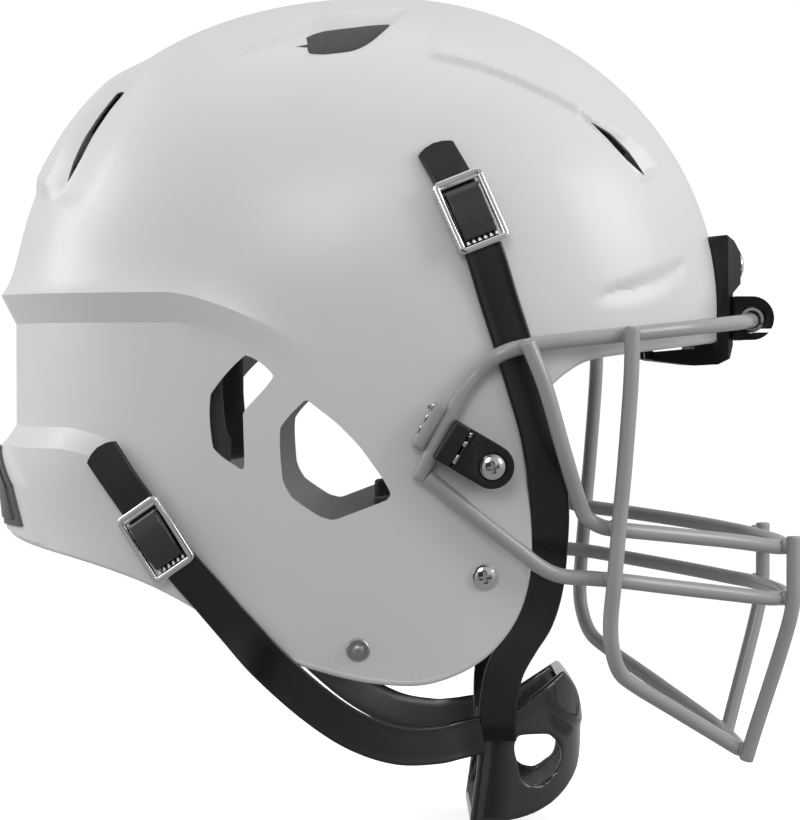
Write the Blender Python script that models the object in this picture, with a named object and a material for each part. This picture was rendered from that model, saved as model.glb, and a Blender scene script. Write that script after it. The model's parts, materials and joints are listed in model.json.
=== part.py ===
"""American football helmet: shell, padding, face guard, clips, chin cup, straps and buckles.

Every length below is in millimetres; MM turns it into Blender's metres when a mesh is made.
+X is the front, +Y the wearer's left, +Z up. The origin is the middle of the line between the ear holes' centres.
"""
import math

import bmesh
import bpy
from mathutils import Matrix, Vector

MM = 0.001
GAP = 0.3
SIDES = {"right": -1, "left": 1}

# shell: superellipse sections around an upright line at CENTRE_X, closed by a dome above BASE_Z
CENTRE_X = 20
BASE_Z = 60
DOME_RISE = 133.8
FRONT_REACH = 142
BACK_REACH = 157
HALF_WIDTH = 114
JAW_TAPER = 17
JAW_DROP = 148
FRONT_ROUND = 2.0
SIDE_ROUND = 2.2
PLAN_ROUND = 2.3
WALL = 3.6
SKIRT_Z = -95

LEDGE_Z = 67
LEDGE_OUT = 6.3
LEDGE_DEEP = 12
FLARE_Z = 12
FLARE_OUT = 5.4
FLARE_DEEP = 8

LINER_INSET = WALL + 0.6
PAD_THICK = 16
JAW_PAD_INSETS = (8.2, 24)

WIRE_R = 3.1
STRAP_WIDTH = 15.9
STRAP_THICK = 1.7
STUD_THICK = 1.5
STRAP_RIDE = GAP + STUD_THICK + GAP + STRAP_THICK / 2
STRAP_HUG = GAP + 0.2 + STRAP_THICK / 2
BUCKLE_SIZE = (21.5, 31.0, 2.4)
BUCKLE_RIM = 3.2
LEVER_RIM = 2.6
LEVER_THICK = 1.6
SCREW_HEAD = (5.2, 2.2)
SCREW_SHANK = 2.0
NUT = (6.5, 2.4)

# side outline of the shell's lower edge, from the nape to the brow, as (x, z)
LOWER_EDGE = [(-170, -24), (-140, -31), (-126, -34.5), (-105.5, -39), (-89, -43.6), (-73, -49.4),
              (-58, -56.8), (-41, -67), (-24, -76.7), (-5.4, -82.9), (12.8, -87.2), (31.2, -88.6),
              (44, -86), (56, -80), (64.5, -72.3), (71, -62.8), (75, -51.6), (76.7, -38), (76, -20),
              (74.2, -5), (73.8, 8), (77, 20), (84, 30), (92, 37), (101, 41.6), (116, 44.2), (163, 49.5),
              (190, 52)]
EAR_HOLE = [(-11.8, 24), (-21.5, 13), (-20.8, -6.8), (-16.9, -14.6), (-6.3, -21.9), (-1.8, -23.3),
            (1, -23.1), (20.6, -15.5), (22, -12.4), (18.6, -6.2), (9.7, 6.1), (1, 15), (-9, 22.8)]
CHEVRON = [(-35.3, 41.9), (-24.1, 33.7), (-35.6, 20), (-36.2, 16.7), (-35.8, -1.8), (-37.6, -3.2),
           (-48.4, 5.2), (-49.3, 26.2)]
REAR_VENT = [(-88, 150), (-96, 145), (-104, 135), (-109, 124), (-111.5, 113), (-105, 125), (-97, 138)]
TOP_VENT = [(-17, 169.5), (4, 174), (16, 175.5), (15.5, 171.5), (2, 169.5), (-8, 169)]
FRONT_VENT = [(103, 137.5), (112, 133.5), (121, 125), (127, 114.5), (120, 120.5), (111, 130)]

CLIP_AT = (60.6, -1.0)
CLIP_TILT = math.radians(-30)
CLIP_LENGTH = 22
CLIP_R = 8.8
CLIP_THICK = 10.2
JAW_SCREW_AT = (59.5, -46.2)
LOWER_STUD_AT = (9.2, -75.5)
UPPER_BUCKLE = ((52.9, 97.5), math.radians(22))
LOWER_BUCKLE = ((-69.5, -31.0), math.radians(35))
SWING_PIVOT = (79, 0, 46)


# ---------- plain helpers ----------

def clear_scene():
    for item in list(bpy.data.objects):
        bpy.data.objects.remove(item, do_unlink=True)


def finish_colour(name, colour, rough, metal=0.0):
    material = bpy.data.materials.new(name)
    material.use_nodes = True
    shader = material.node_tree.nodes["Principled BSDF"]
    shader.inputs["Base Color"].default_value = (*colour, 1)
    shader.inputs["Roughness"].default_value = rough
    shader.inputs["Metallic"].default_value = metal
    material.diffuse_color = (*colour, 1)
    return material


def make(name, verts, faces, material=None, smooth=True):
    """One object from points in millimetres, its faces turned outwards."""
    mesh = bpy.data.meshes.new(name)
    mesh.from_pydata([Vector(v) * MM for v in verts], [], faces)
    form = bmesh.new()
    form.from_mesh(mesh)
    bmesh.ops.remove_doubles(form, verts=form.verts, dist=1e-6)
    bmesh.ops.recalc_face_normals(form, faces=form.faces)
    form.to_mesh(mesh)
    form.free()
    if smooth:
        mesh.shade_smooth()
        mesh.set_sharp_from_angle(angle=math.radians(35))
    item = bpy.data.objects.new(name, mesh)
    bpy.context.scene.collection.objects.link(item)
    if material:
        mesh.materials.append(material)
    return item


def hang_on(item, pivot):
    """Puts the object's origin on its joint's axis without moving its shape."""
    item.data.transform(Matrix.Translation(-Vector(pivot) * MM))
    item.location = Vector(pivot) * MM
    return item


def cutter(name, verts, faces):
    item = make(name, verts, faces, smooth=False)
    item.hide_render = True
    item.display_type = "WIRE"
    return item


def prism(points, low, high, axis="y"):
    """Points and faces of a flat outline pulled along one axis."""
    place = {"x": lambda a, b, d: (d, a, b), "y": lambda a, b, d: (a, d, b), "z": lambda a, b, d: (a, b, d)}[axis]
    count = len(points)
    verts = [place(a, b, low) for a, b in points] + [place(a, b, high) for a, b in points]
    faces = [list(range(count)), list(range(count, 2 * count))]
    faces += [[i, (i + 1) % count, (i + 1) % count + count, i + count] for i in range(count)]
    return verts, faces


def lathe(profile, frame, steps=20):
    """Points and faces of a turned solid; profile is (radius, height) up the frame's own Z."""
    verts = []
    for radius, height in profile:
        for i in range(steps):
            turn = math.tau * i / steps
            verts.append(frame @ Vector((radius * math.cos(turn), radius * math.sin(turn), height)))
    faces = [list(range(steps)), list(range(len(verts) - steps, len(verts)))]
    for ring in range(len(profile) - 1):
        for i in range(steps):
            j = (i + 1) % steps
            faces.append([ring * steps + i, ring * steps + j, (ring + 1) * steps + j, (ring + 1) * steps + i])
    return verts, faces


def ring_solid(inner, outer, low, high, frame, steps=20):
    """Points and faces of a washer."""
    verts = []
    for radius, height in ((inner, low), (outer, low), (outer, high), (inner, high)):
        for i in range(steps):
            turn = math.tau * i / steps
            verts.append(frame @ Vector((radius * math.cos(turn), radius * math.sin(turn), height)))
    faces = []
    for ring in range(4):
        after = (ring + 1) % 4
        for i in range(steps):
            j = (i + 1) % steps
            faces.append([ring * steps + i, ring * steps + j, after * steps + j, after * steps + i])
    return verts, faces


def combine(item, tool, how="DIFFERENCE"):
    step = item.modifiers.new(how.lower(), "BOOLEAN")
    step.operation = how
    step.object = tool
    step.solver = "EXACT"


def smooth_path(points, per_span=5):
    """A Catmull-Rom curve through the points."""
    points = [Vector(p) for p in points]
    padded = [2 * points[0] - points[1]] + points + [2 * points[-1] - points[-2]]
    path = []
    for i in range(1, len(padded) - 2):
        a, b, c, d = padded[i - 1:i + 3]
        for step in range(per_span):
            t = step / per_span
            path.append(0.5 * (2 * b + (c - a) * t + (2 * a - 5 * b + 4 * c - d) * t * t
                               + (3 * b - a - 3 * c + d) * t ** 3))
    return path + [points[-1]]


# ---------- the shell's surface ----------

def fall(z, rise, roundness):
    """How far a section has shrunk at height z, from 1 at BASE_Z to 0 at the top."""
    if z <= BASE_Z:
        return 1.0
    return max(0.0, 1 - ((z - BASE_Z) / rise) ** roundness) ** (1 / roundness)


def half_width(z, inset=0.0):
    if z < BASE_Z:
        return HALF_WIDTH - inset - JAW_TAPER * ((BASE_Z - z) / JAW_DROP) ** 1.6
    return (HALF_WIDTH - inset) * fall(z, DOME_RISE - inset, SIDE_ROUND)


def reach(z, front, inset=0.0):
    if front:
        return (FRONT_REACH - inset) * fall(z, DOME_RISE - inset, FRONT_ROUND)
    return (BACK_REACH - inset) * fall(z, DOME_RISE - inset, SIDE_ROUND)


def ease(value, low, high):
    t = min(1, max(0, (value - low) / (high - low)))
    return t * t * (3 - 2 * t)


def relief(x, z):
    """How far the rear ledge and the nape's flare stand out of the plain shell."""
    line = LEDGE_Z - 0.047 * max(0, x + 65) ** 1.5
    strength = LEDGE_OUT * (1 - ease(x, -95, -15))
    ledge = math.exp((line - z) / 9) if z >= line else max(0, 1 - (line - z) / LEDGE_DEEP)
    flare_line = FLARE_Z - 0.1 * max(0, x + 105)
    flare_strength = FLARE_OUT * (1 - ease(x, -110, -60))
    flare = min(1, max(0, (flare_line - z) / FLARE_DEEP)) * (1 - 0.5 * ease(-z, 0, 35))
    return strength * ledge + flare_strength * flare


def shell_point(turn, z, inset=0.0, plain=False):
    """turn is in degrees from the front to the left; z is on the outer surface; plain has no relief."""
    level = z if z <= BASE_Z else BASE_Z + (z - BASE_Z) * (DOME_RISE - inset) / DOME_RISE
    angle = math.radians(turn)
    cosine, sine = math.cos(angle), math.sin(angle)
    length = reach(level, cosine > 0, inset)
    width = half_width(level, inset)
    power = 2 / PLAN_ROUND
    x = CENTRE_X + math.copysign(abs(cosine) ** power, cosine) * length
    y = math.copysign(abs(sine) ** power, sine) * width
    out = Vector() if plain else Vector((cosine, sine, 0)) * relief(x, z)
    return Vector((x, y, level)) + out


def side_y(x, z, inset=0.0):
    """Half-width of the shell at a place in the side view."""
    length = reach(z, x > CENTRE_X, inset)
    ratio = min(1, abs(x - CENTRE_X) / length)
    return half_width(z, inset) * (1 - ratio ** PLAN_ROUND) ** (1 / PLAN_ROUND) + relief(x, z) * 0.6


def side_frame(x, z, side, tilt=0.0, lift=0.0):
    """A frame on the shell's side: X across a strap, Y up along it, Z outwards."""
    step = 2.0
    here = Vector((x, side * side_y(x, z), z))
    along_x = Vector((step, side * (side_y(x + step, z) - side_y(x, z)), 0))
    along_z = Vector((0, side * (side_y(x, z + step) - side_y(x, z)), step))
    out = along_x.cross(along_z).normalized()
    if out.y * side < 0:
        out = -out
    up = Vector((-math.sin(tilt), 0, math.cos(tilt)))
    up = (up - out * up.dot(out)).normalized()
    across = up.cross(out)
    frame = Matrix((across, up, out)).transposed().to_4x4()
    frame.translation = here + out * lift
    return frame


def surface_grid(turns, levels, insets, plain=True):
    """Closed solid between two insets of the shell, over part of it."""
    rows = [[shell_point(turn, z, inset, plain) for turn in turns] for inset in insets for z in levels]
    verts = [point for row in rows for point in row]
    across, up = len(turns), len(levels)
    faces = []

    def at(layer, row, column):
        return (layer * up + row) * across + column

    for layer in (0, 1):
        for row in range(up - 1):
            for column in range(across - 1):
                faces.append([at(layer, row, column), at(layer, row, column + 1),
                              at(layer, row + 1, column + 1), at(layer, row + 1, column)])
    for column in range(across - 1):
        for row in (0, up - 1):
            faces.append([at(0, row, column), at(0, row, column + 1), at(1, row, column + 1), at(1, row, column)])
    for row in range(up - 1):
        for column in (0, across - 1):
            faces.append([at(0, row, column), at(0, row + 1, column), at(1, row + 1, column), at(1, row, column)])
    return verts, faces


def bowl(levels, insets, steps, plain=False):
    """Closed solid between two insets, all the way round and over the top."""
    turns = [360 * i / steps for i in range(steps)]
    verts = []
    faces = []
    for inset in insets:
        start = len(verts)
        for z in levels:
            verts += [shell_point(turn, z, inset, plain) for turn in turns]
        verts.append(Vector((CENTRE_X, 0, BASE_Z + DOME_RISE - inset)))
        for row in range(len(levels) - 1):
            for i in range(steps):
                j = (i + 1) % steps
                a = start + row * steps
                faces.append([a + i, a + j, a + steps + j, a + steps + i])
        last = start + (len(levels) - 1) * steps
        faces += [[last + i, last + (i + 1) % steps, len(verts) - 1] for i in range(steps)]
    half = len(verts) // 2
    faces += [[i, (i + 1) % steps, half + (i + 1) % steps, half + i] for i in range(steps)]
    return verts, faces


def spread(low, high, count):
    return [low + (high - low) * i / (count - 1) for i in range(count)]


def dome_levels(low_angle, high_angle, count):
    return [BASE_Z + DOME_RISE * math.sin(math.radians(a)) for a in spread(low_angle, high_angle, count)]


# ---------- shell and bumpers ----------

def screw_places():
    """Every screw through the shell: name, frame on the surface, height its head sits at."""
    places = []
    for word, side in SIDES.items():
        places.append((f"side_clip_{word}", side_frame(*CLIP_AT, side), CLIP_THICK + 2 * GAP))
        places.append((f"jaw_{word}", side_frame(*JAW_SCREW_AT, side), GAP))
    return places


def build_shell(material):
    skirt = [SKIRT_Z, -70, -45, -25, -5, 4, 12, 28, 43, 54.8, 66.9, 71, 78, 88]
    levels = skirt + dome_levels(17, 86, 10)
    shell = make("shell", *bowl(levels, (0, WALL), 48), material)
    outline = [(-190, 230), *LOWER_EDGE, (210, 230)]
    combine(shell, cutter("cut_outline", *prism(outline, -150, 150)), "INTERSECT")
    for name, points in (("ear", EAR_HOLE), ("chevron", CHEVRON), ("rear_vent", REAR_VENT),
                         ("top_vent", TOP_VENT), ("front_vent", FRONT_VENT)):
        combine(shell, cutter(f"cut_{name}", *prism(points, -150, 150)))
    for name, frame, _ in screw_places():
        bore = lathe([(SCREW_SHANK + GAP, -12), (SCREW_SHANK + GAP, 6)], frame, 12)
        combine(shell, cutter(f"cut_{name}", *bore))
    return shell


def shell_core(name, grow):
    """A solid dome a little bigger than the shell, for cutting what sits against it."""
    levels = [SKIRT_Z, -45, -5, 4, 12, 28, 43, 54.8, 66.9, 71, 78, 88] + dome_levels(17, 86, 9)
    steps = 52
    verts = [shell_point(360 * i / steps, z, -grow) for z in levels for i in range(steps)]
    verts.append(Vector((CENTRE_X, 0, BASE_Z + DOME_RISE + grow)))
    faces = [[row * steps + i, row * steps + (i + 1) % steps, (row + 1) * steps + (i + 1) % steps,
              (row + 1) * steps + i] for row in range(len(levels) - 1) for i in range(steps)]
    last = (len(levels) - 1) * steps
    faces += [[last + i, last + (i + 1) % steps, len(verts) - 1] for i in range(steps)]
    faces.append(list(range(steps)))
    return cutter(name, verts, faces)


FRONT_SCREW_Y = 15
FRONT_SCREW_Z = 80
BUMPER_FACE_X = 170
BUMPER_HALF = 29
NAMEPLATE_RISE = 1.0
NAMEPLATE_HALF = 8.5


def build_front_bumper(material, core):
    profile = [(150, 91), (163.5, 92.5), (167, 90), (BUMPER_FACE_X, 85), (BUMPER_FACE_X, 72), (166.4, 68),
               (166.4, 46), (165, 40.5), (160, 38), (150, 37.5), (133, 39.5), (133, 43), (150, 44.5)]
    bumper = make("front_bumper", *prism(profile, -BUMPER_HALF, BUMPER_HALF), material)
    combine(bumper, core)
    raised = BUMPER_FACE_X + NAMEPLATE_RISE
    panel = [(168, 73.5), (raised, 73.5), (raised, 84.5), (168, 84.5)]
    combine(bumper, cutter("add_nameplate", *prism(panel, -NAMEPLATE_HALF, NAMEPLATE_HALF)), "UNION")
    for word, side in SIDES.items():
        bore = lathe([(SCREW_SHANK + GAP, -30), (SCREW_SHANK + GAP, 6)], front_screw_frame(side), 12)
        combine(bumper, cutter(f"cut_bumper_{word}", *bore))
    return bumper


def front_screw_frame(side):
    frame = Matrix(((0, 0, 1), (1, 0, 0), (0, 1, 0))).to_4x4()
    frame.translation = Vector((BUMPER_FACE_X, side * FRONT_SCREW_Y, FRONT_SCREW_Z))
    return frame


def build_rear_bumper(material):
    turns = spread(180 - 30, 180 + 30, 13)
    levels = [-28, -18, -8, 3.2]
    plate = make("rear_bumper", *surface_grid(turns, levels, (-2.2, -GAP - 0.2), False), material)
    outline = [(-50, -30), (50, -30), (45, -12), (26, 5), (-26, 5), (-45, -12)]
    combine(plate, cutter("cut_rear_outline", *prism(outline, -160, -100, "x")), "INTERSECT")
    return plate


# ---------- padding ----------

def build_pads(material):
    inner = LINER_INSET + PAD_THICK
    layout = {"front_pad": (spread(-38, 38, 11), [55, 70, 85, 100, 115, 127]),
              "rear_pad": (spread(156, 204, 7), [-20, 0, 20, 45, 70, 95, 112, 127])}
    for word, side in SIDES.items():
        layout[f"rear_side_pad_{word}"] = (spread(side * 112, side * 152, 7), [-8, 10, 30, 50, 70, 90, 110, 127])
        layout[f"side_pad_{word}"] = (spread(side * 43, side * 107, 9), [52, 65, 80, 95, 110, 127])
        jaw = surface_grid(spread(side * 76, side * 91.5, 4), [-64, -50, -35, -22, -13], JAW_PAD_INSETS)
        make(f"jaw_pad_{word}", *jaw, material)
    for name, (turns, levels) in layout.items():
        make(name, *surface_grid(turns, levels, (LINER_INSET, inner)), material)
    make("crown_pad", *bowl(dome_levels(34, 84, 6), (LINER_INSET, inner), 24, True), material)


# ---------- face guard ----------

def wire(name, points, material, per_span=2):
    curve = bpy.data.curves.new(name, "CURVE")
    curve.dimensions = "3D"
    curve.bevel_depth = WIRE_R * MM
    curve.bevel_resolution = 2
    curve.render_resolution_u = 0
    curve.use_fill_caps = True
    path = smooth_path(points, per_span)
    spline = curve.splines.new("POLY")
    spline.points.add(len(path) - 1)
    for point, spot in zip(spline.points, path):
        point.co = (*(spot * MM), 1)
    curve.materials.append(material)
    item = bpy.data.objects.new(name, curve)
    bpy.context.scene.collection.objects.link(item)
    return item


def mirrored(half):
    """A whole route from its right half, which ends on the mid-plane."""
    right = [Vector(p) for p in half]
    left = [Vector((p.x, -p.y, p.z)) for p in reversed(right[:-1])]
    return right + left


BROW_REACH = 156.5
BROW_HALF = 119.4


def brow_y(x):
    ratio = (x - CENTRE_X) / BROW_REACH
    return -BROW_HALF * (1 - ratio ** PLAN_ROUND) ** (1 / PLAN_ROUND)


def over_shell(x, z, lift):
    return Vector((x, -side_y(x, z) - lift, z))


def build_guard(material):
    ride = WIRE_R + 0.6
    brow = [over_shell(x, z, ride) for x, z in ((33.4, -6.1), (38.5, 4), (44, 14.5), (50.8, 27.8), (57.5, 36.1))]
    brow += [Vector((x, brow_y(x), z)) for x, z in ((66, 42.6), (78.4, 46), (100, 48.6), (122, 50.8), (143.8, 53))]
    brow += [(162, brow_y(162), 55), (172.4, brow_y(172.4), 56.2), (176.5, 0, 57)]
    wire("brow_wire", mirrored(brow), material)

    beside = 2 * WIRE_R + GAP
    top_y = brow_y(76) - beside
    upper = [(76, top_y, 46.5), (83, top_y + 1.5, 29), (91, top_y + 7, 2), (98, -104, -19), (101.6, -102.6, -23.8),
             (107, -100.4, -26.6), (114, -97.5, -27.8), (134, -88, -30.2), (160, -72, -33.6), (176, -60, -36.2),
             (182.6, -51, -37.4), (187, -38, -38.2), (190.4, -20, -38.8), (191.6, 0, -39.4)]
    wire("upper_wire", mirrored(upper), material)

    start = over_shell(40.2, -8.8, ride + 0.2)
    lower = [start, over_shell(57.5, -23.2, ride + 1.2), (72, -107.2, -34.6), (81.5, -105.4, -42),
             (90, -103.2, -45.8),
             (102, -100, -47), (114, -97.5, -48.2), (134, -88, -51.2), (160, -72, -55.2), (176, -60, -57.8),
             (182.6, -51, -58.6), (187, -38, -59.4), (190.4, -20, -60), (191.6, 0, -60.4)]
    wire("lower_wire", mirrored(lower), material)

    out_y = -97.5 - beside - 1.4
    top_out = brow_y(118) - beside - 0.2
    jaw = [(118, top_out, 52.7), (117.4, top_out, 31), (115, top_out, -2), (113.2, out_y, -22), (111, out_y, -48),
           (109.8, -102, -64), (110.6, -99, -75), (114, -93.5, -85), (121, -86, -91.4), (140, -67.5, -104),
           (160, -47.5, -117.3), (167.6, -36, -122.6), (170.6, -18, -124.8), (171.2, 0, -125.4)]
    wire("jaw_wire", mirrored(jaw), material)

    for word, side in SIDES.items():
        bar = [(188.7, 54.6, -33.5), (188.7, 54.6, -48), (188.2, 54.2, -62), (184, 50.6, -80), (174.8, 43.6, -112),
               (170.8, 40.6, -126.5)]
        wire(f"front_bar_{word}", [(x, side * y, z) for x, y, z in bar], material, 2)
        rod = [over_shell(42.9, 21.5, ride), over_shell(34, 6.1, ride)]
        lean = Vector((-2.4, 0, 1.2))
        rod = [p + lean for p in rod]
        wire(f"clip_rod_{word}", [(p.x, -side * p.y, p.z) for p in rod], material, 2)


# ---------- clips and fasteners ----------

def stadium(length, radius, steps=8):
    """Outline with one round end at the origin and a square end at x = -length."""
    arc = [(radius * math.cos(a), radius * math.sin(a)) for a in
           (math.radians(-90 + 180 * i / steps) for i in range(steps + 1))]
    return arc + [(-length, radius), (-length, -radius)]


def build_side_clip(word, side, material):
    frame = side_frame(*CLIP_AT, side)
    spin = Matrix.Rotation(-side * CLIP_TILT, 4, "Z")
    flip = Matrix.Diagonal((-side, 1, 1, 1))
    outline = stadium(CLIP_LENGTH, CLIP_R)
    verts, faces = prism(outline, GAP + 0.5, CLIP_THICK + GAP, "z")
    clip = make(f"side_clip_{word}", [frame @ spin @ flip @ Vector(v) for v in verts], faces, material)
    bore = lathe([(SCREW_SHANK + GAP, -12), (SCREW_SHANK + GAP, 20)], frame, 12)
    combine(clip, cutter(f"cut_clip_{word}", *bore))
    lead = over_shell(44, 14.5, WIRE_R + 0.6)
    tail = over_shell(33.4, -6.1, WIRE_R + 0.6)
    along = (tail - lead).normalized()
    channel = []
    for spot in (lead - along * 12, tail + along * 6):
        channel.append(Vector((spot.x, -side * spot.y, spot.z)))
    groove = wire_cutter(f"cut_groove_{word}", channel, WIRE_R + 0.6)
    combine(clip, groove)
    return clip


def wire_cutter(name, ends, radius):
    along = (ends[1] - ends[0])
    frame = along.to_track_quat("Z", "Y").to_matrix().to_4x4()
    frame.translation = ends[0]
    return cutter(name, *lathe([(radius, 0), (radius, along.length)], frame, 16))


def build_screw(name, frame, head_at, shank_to, material):
    radius, thick = SCREW_HEAD
    profile = [(SCREW_SHANK, shank_to), (SCREW_SHANK, head_at), (radius, head_at), (radius, head_at + thick * 0.45),
               (radius * 0.8, head_at + thick * 0.85), (radius * 0.4, head_at + thick)]
    screw = make(name, *lathe(profile, frame, 16), material)
    for turned in (0, 1):
        half = (2.6, 0.55) if turned else (0.55, 2.6)
        corners = [(-half[0], -half[1]), (half[0], -half[1]), (half[0], half[1]), (-half[0], half[1])]
        verts, faces = prism(corners, head_at + thick - 1.3, head_at + thick + 1, "z")
        combine(screw, cutter(f"cut_cross_{name}_{turned}", [frame @ Vector(v) for v in verts], faces))


def build_nut(name, frame, top, material):
    radius, thick = NUT
    make(name, *ring_solid(SCREW_SHANK + GAP, radius, top - thick, top, frame, 12), material)


def build_fasteners(steel, nut_steel):
    for name, frame, head_at in screw_places():
        build_screw(f"{name}_screw", frame, head_at, -7.5, steel)
        build_nut(f"{name}_nut", frame, -WALL - 0.9, nut_steel)
    for word, side in SIDES.items():
        frame = front_screw_frame(side)
        build_screw(f"front_screw_{word}", frame, GAP, -8.5, steel)
        rivet = side_frame(*LOWER_STUD_AT, side)
        stud = lathe([(4.6, GAP), (4.6, 1.1), (2.2, 1.6), (2.2, 3.2), (1.2, 3.7)], rivet, 14)
        make(f"lower_stud_{word}", *stud, steel)


CLIP_LOOP_AT = (174.3, 57.5)
CLIP_LOOP_Y = 22
CLIP_LOOP_HALF = 7


def build_front_clip(word, side, material):
    """A hook round the brow wire, cut from a plate whose outline is a loop on a foot."""
    cx, cz = CLIP_LOOP_AT
    outer = 9.2
    arc = [(cx + outer * math.cos(a), cz + outer * math.sin(a)) for a in
           (math.radians(90 - 180 * i / 12) for i in range(13))]
    outline = [(167.2, cz - outer), (167.2, cz + outer)] + arc
    middle = side * CLIP_LOOP_Y
    low, high = middle - CLIP_LOOP_HALF, middle + CLIP_LOOP_HALF
    clip = make(f"front_clip_{word}", *prism(outline, low, high), material)
    path = [Vector((cx, y, cz - 0.6)) for y in (low - 5, high + 5)]
    bore = wire_cutter(f"cut_clip_bore_{word}", path, 5.6)
    combine(clip, bore)
    mouth = [(cx + 1, cz - 3.6), (cx + 20, cz - 3.6), (cx + 20, cz - 6.4), (cx + 1, cz - 6.4)]
    combine(clip, cutter(f"cut_clip_mouth_{word}", *prism(mouth, low - 5, high + 5)))
    return clip


# ---------- straps and buckles ----------

def strap(name, path, normals, material, width=STRAP_WIDTH, thick=STRAP_THICK):
    """A flat band along a path, its face turned to the given outward directions."""
    rings = []
    for i, (spot, out) in enumerate(zip(path, normals)):
        along = (path[min(i + 1, len(path) - 1)] - path[max(i - 1, 0)]).normalized()
        out = (out - along * out.dot(along)).normalized()
        across = along.cross(out)
        rings.append([spot + across * a * width / 2 + out * b * thick / 2
                      for a, b in ((-1, -1), (1, -1), (1, 1), (-1, 1))])
    verts = [point for ring in rings for point in ring]
    faces = [[0, 1, 2, 3], [len(verts) - 4 + i for i in range(4)]]
    for i in range(len(rings) - 1):
        for a in range(4):
            b = (a + 1) % 4
            faces.append([4 * i + a, 4 * i + b, 4 * i + 4 + b, 4 * i + 4 + a])
    return make(name, verts, faces, material)


def shell_stretch(places, side):
    spots = []
    for x, z, lift in places:
        frame = side_frame(x, z, side, lift=lift)
        spots.append((frame.translation, frame.col[2].to_3d()))
    return spots


def build_strap(name, side, on_shell, free, material):
    """A strap that lies on the shell first, then hangs free through the given points."""
    spots = shell_stretch(on_shell, side)
    spots += [(Vector((x, -side * y, z)), Vector((nx, side * ny, nz)))
              for (x, y, z), (nx, ny, nz) in free]
    path = smooth_path([spot for spot, _ in spots], 3)
    normals = smooth_path([out for _, out in spots], 3)
    return strap(name, path, normals, material)


def build_straps(material):
    ride, hug = STRAP_RIDE, STRAP_HUG
    upper_on = [(40, 123, hug), (46.5, 110.5, ride), (52.9, 97.5, ride), (59, 81, ride), (64.5, 64, hug),
                (70, 47, hug), (75.2, 30, hug), (80.2, 13, hug)]
    upper_free = [((84, -103.2, -4), (0.1, 1, 0)), ((85.6, -99, -20), (0.1, 1, 0.05)),
                  ((85.4, -92.6, -36), (0.15, 1, -0.1)), ((84, -85.5, -52), (0.1, 1, -0.25)),
                  ((80.4, -76.5, -66), (0, 1, -0.5)), ((74.6, -65.5, -77), (-0.1, 1, -0.6)),
                  ((69.6, -54.5, -88), (-0.1, 1, -0.5)), ((67.4, -46.5, -100), (0, 1, -0.3)),
                  ((67, -41.6, -110), (0, 1, -0.1)), ((67, -40.4, -119), (0, 1, 0))]
    lower_on = [(-92, 2.5, ride + 1), (-84, -9, ride + 0.6), (-76, -20.5, ride), (-69, -31, ride),
                (-60.2, -42, ride),
                (-50.4, -54, hug), (-40, -66, hug)]
    lower_free = [((-26, -98.6, -81.6), (0, 1, 0)), ((-8.4, -92, -98), (0.1, 1, 0)),
                  ((8, -81, -110.2), (0.2, 1, 0)),
                  ((25, -67.5, -117.6), (0.3, 1, 0)), ((41, -54, -119.2), (0.3, 1, 0)),
                  ((51, -46, -118), (0.2, 1, 0)), ((57.2, -42.6, -116.6), (0.1, 1, 0))]
    for word, side in SIDES.items():
        build_strap(f"upper_strap_{word}", side, upper_on, upper_free, material)
        build_strap(f"lower_strap_{word}", side, lower_on, lower_free, material)


def window_plate(name, size, rim, low, high, frame, material):
    """A rectangular frame with a rectangular window, in the frame's own X and Y."""
    wide, tall = size[0] / 2, size[1] / 2
    loops = [(wide, tall, low), (wide, tall, high), (wide - rim, tall - rim, high), (wide - rim, tall - rim, low)]
    corners = ((-1, -1), (1, -1), (1, 1), (-1, 1))
    verts = [frame @ Vector((x * a, y * b, z)) for x, y, z in loops for a, b in corners]
    faces = []
    for i in range(4):
        after = (i + 1) % 4
        for a in range(4):
            b = (a + 1) % 4
            faces.append([4 * i + a, 4 * i + b, 4 * after + b, 4 * after + a])
    return make(name, verts, faces, material)


def build_buckle(prefix, place, tilt, side, steel, stud_steel):
    # a strap leans forward as it goes down, so its frame leans the same way on both sides
    frame = side_frame(*place, side, tilt)
    low = STRAP_RIDE + STRAP_THICK / 2 + 0.6
    high = low + BUCKLE_SIZE[2]
    window_plate(f"{prefix}_buckle", BUCKLE_SIZE, BUCKLE_RIM, low, high, frame, steel)
    lever_size = (BUCKLE_SIZE[0] - 2 * BUCKLE_RIM - 1.2, BUCKLE_SIZE[1] - 2 * BUCKLE_RIM - 3.6)
    lever_frame = frame @ Matrix.Translation((0, 0, low + 0.4))
    lever = window_plate(f"{prefix}_lever", lever_size, LEVER_RIM, 0, LEVER_THICK, lever_frame, steel)
    hang_on(lever, lever_frame @ Vector((0, lever_size[1] / 2 - 1, LEVER_THICK / 2)))
    snap = lathe([(5, GAP), (5, GAP + STUD_THICK * 0.5), (3.4, GAP + STUD_THICK)], frame, 14)
    make(f"{prefix}_snap", *snap, stud_steel)


def build_buckles(steel, stud_steel):
    for word, side in SIDES.items():
        build_buckle(f"upper_{word}", *UPPER_BUCKLE, side, steel, stud_steel)
        build_buckle(f"lower_{word}", *LOWER_BUCKLE, side, steel, stud_steel)


# ---------- chin cup ----------

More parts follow.
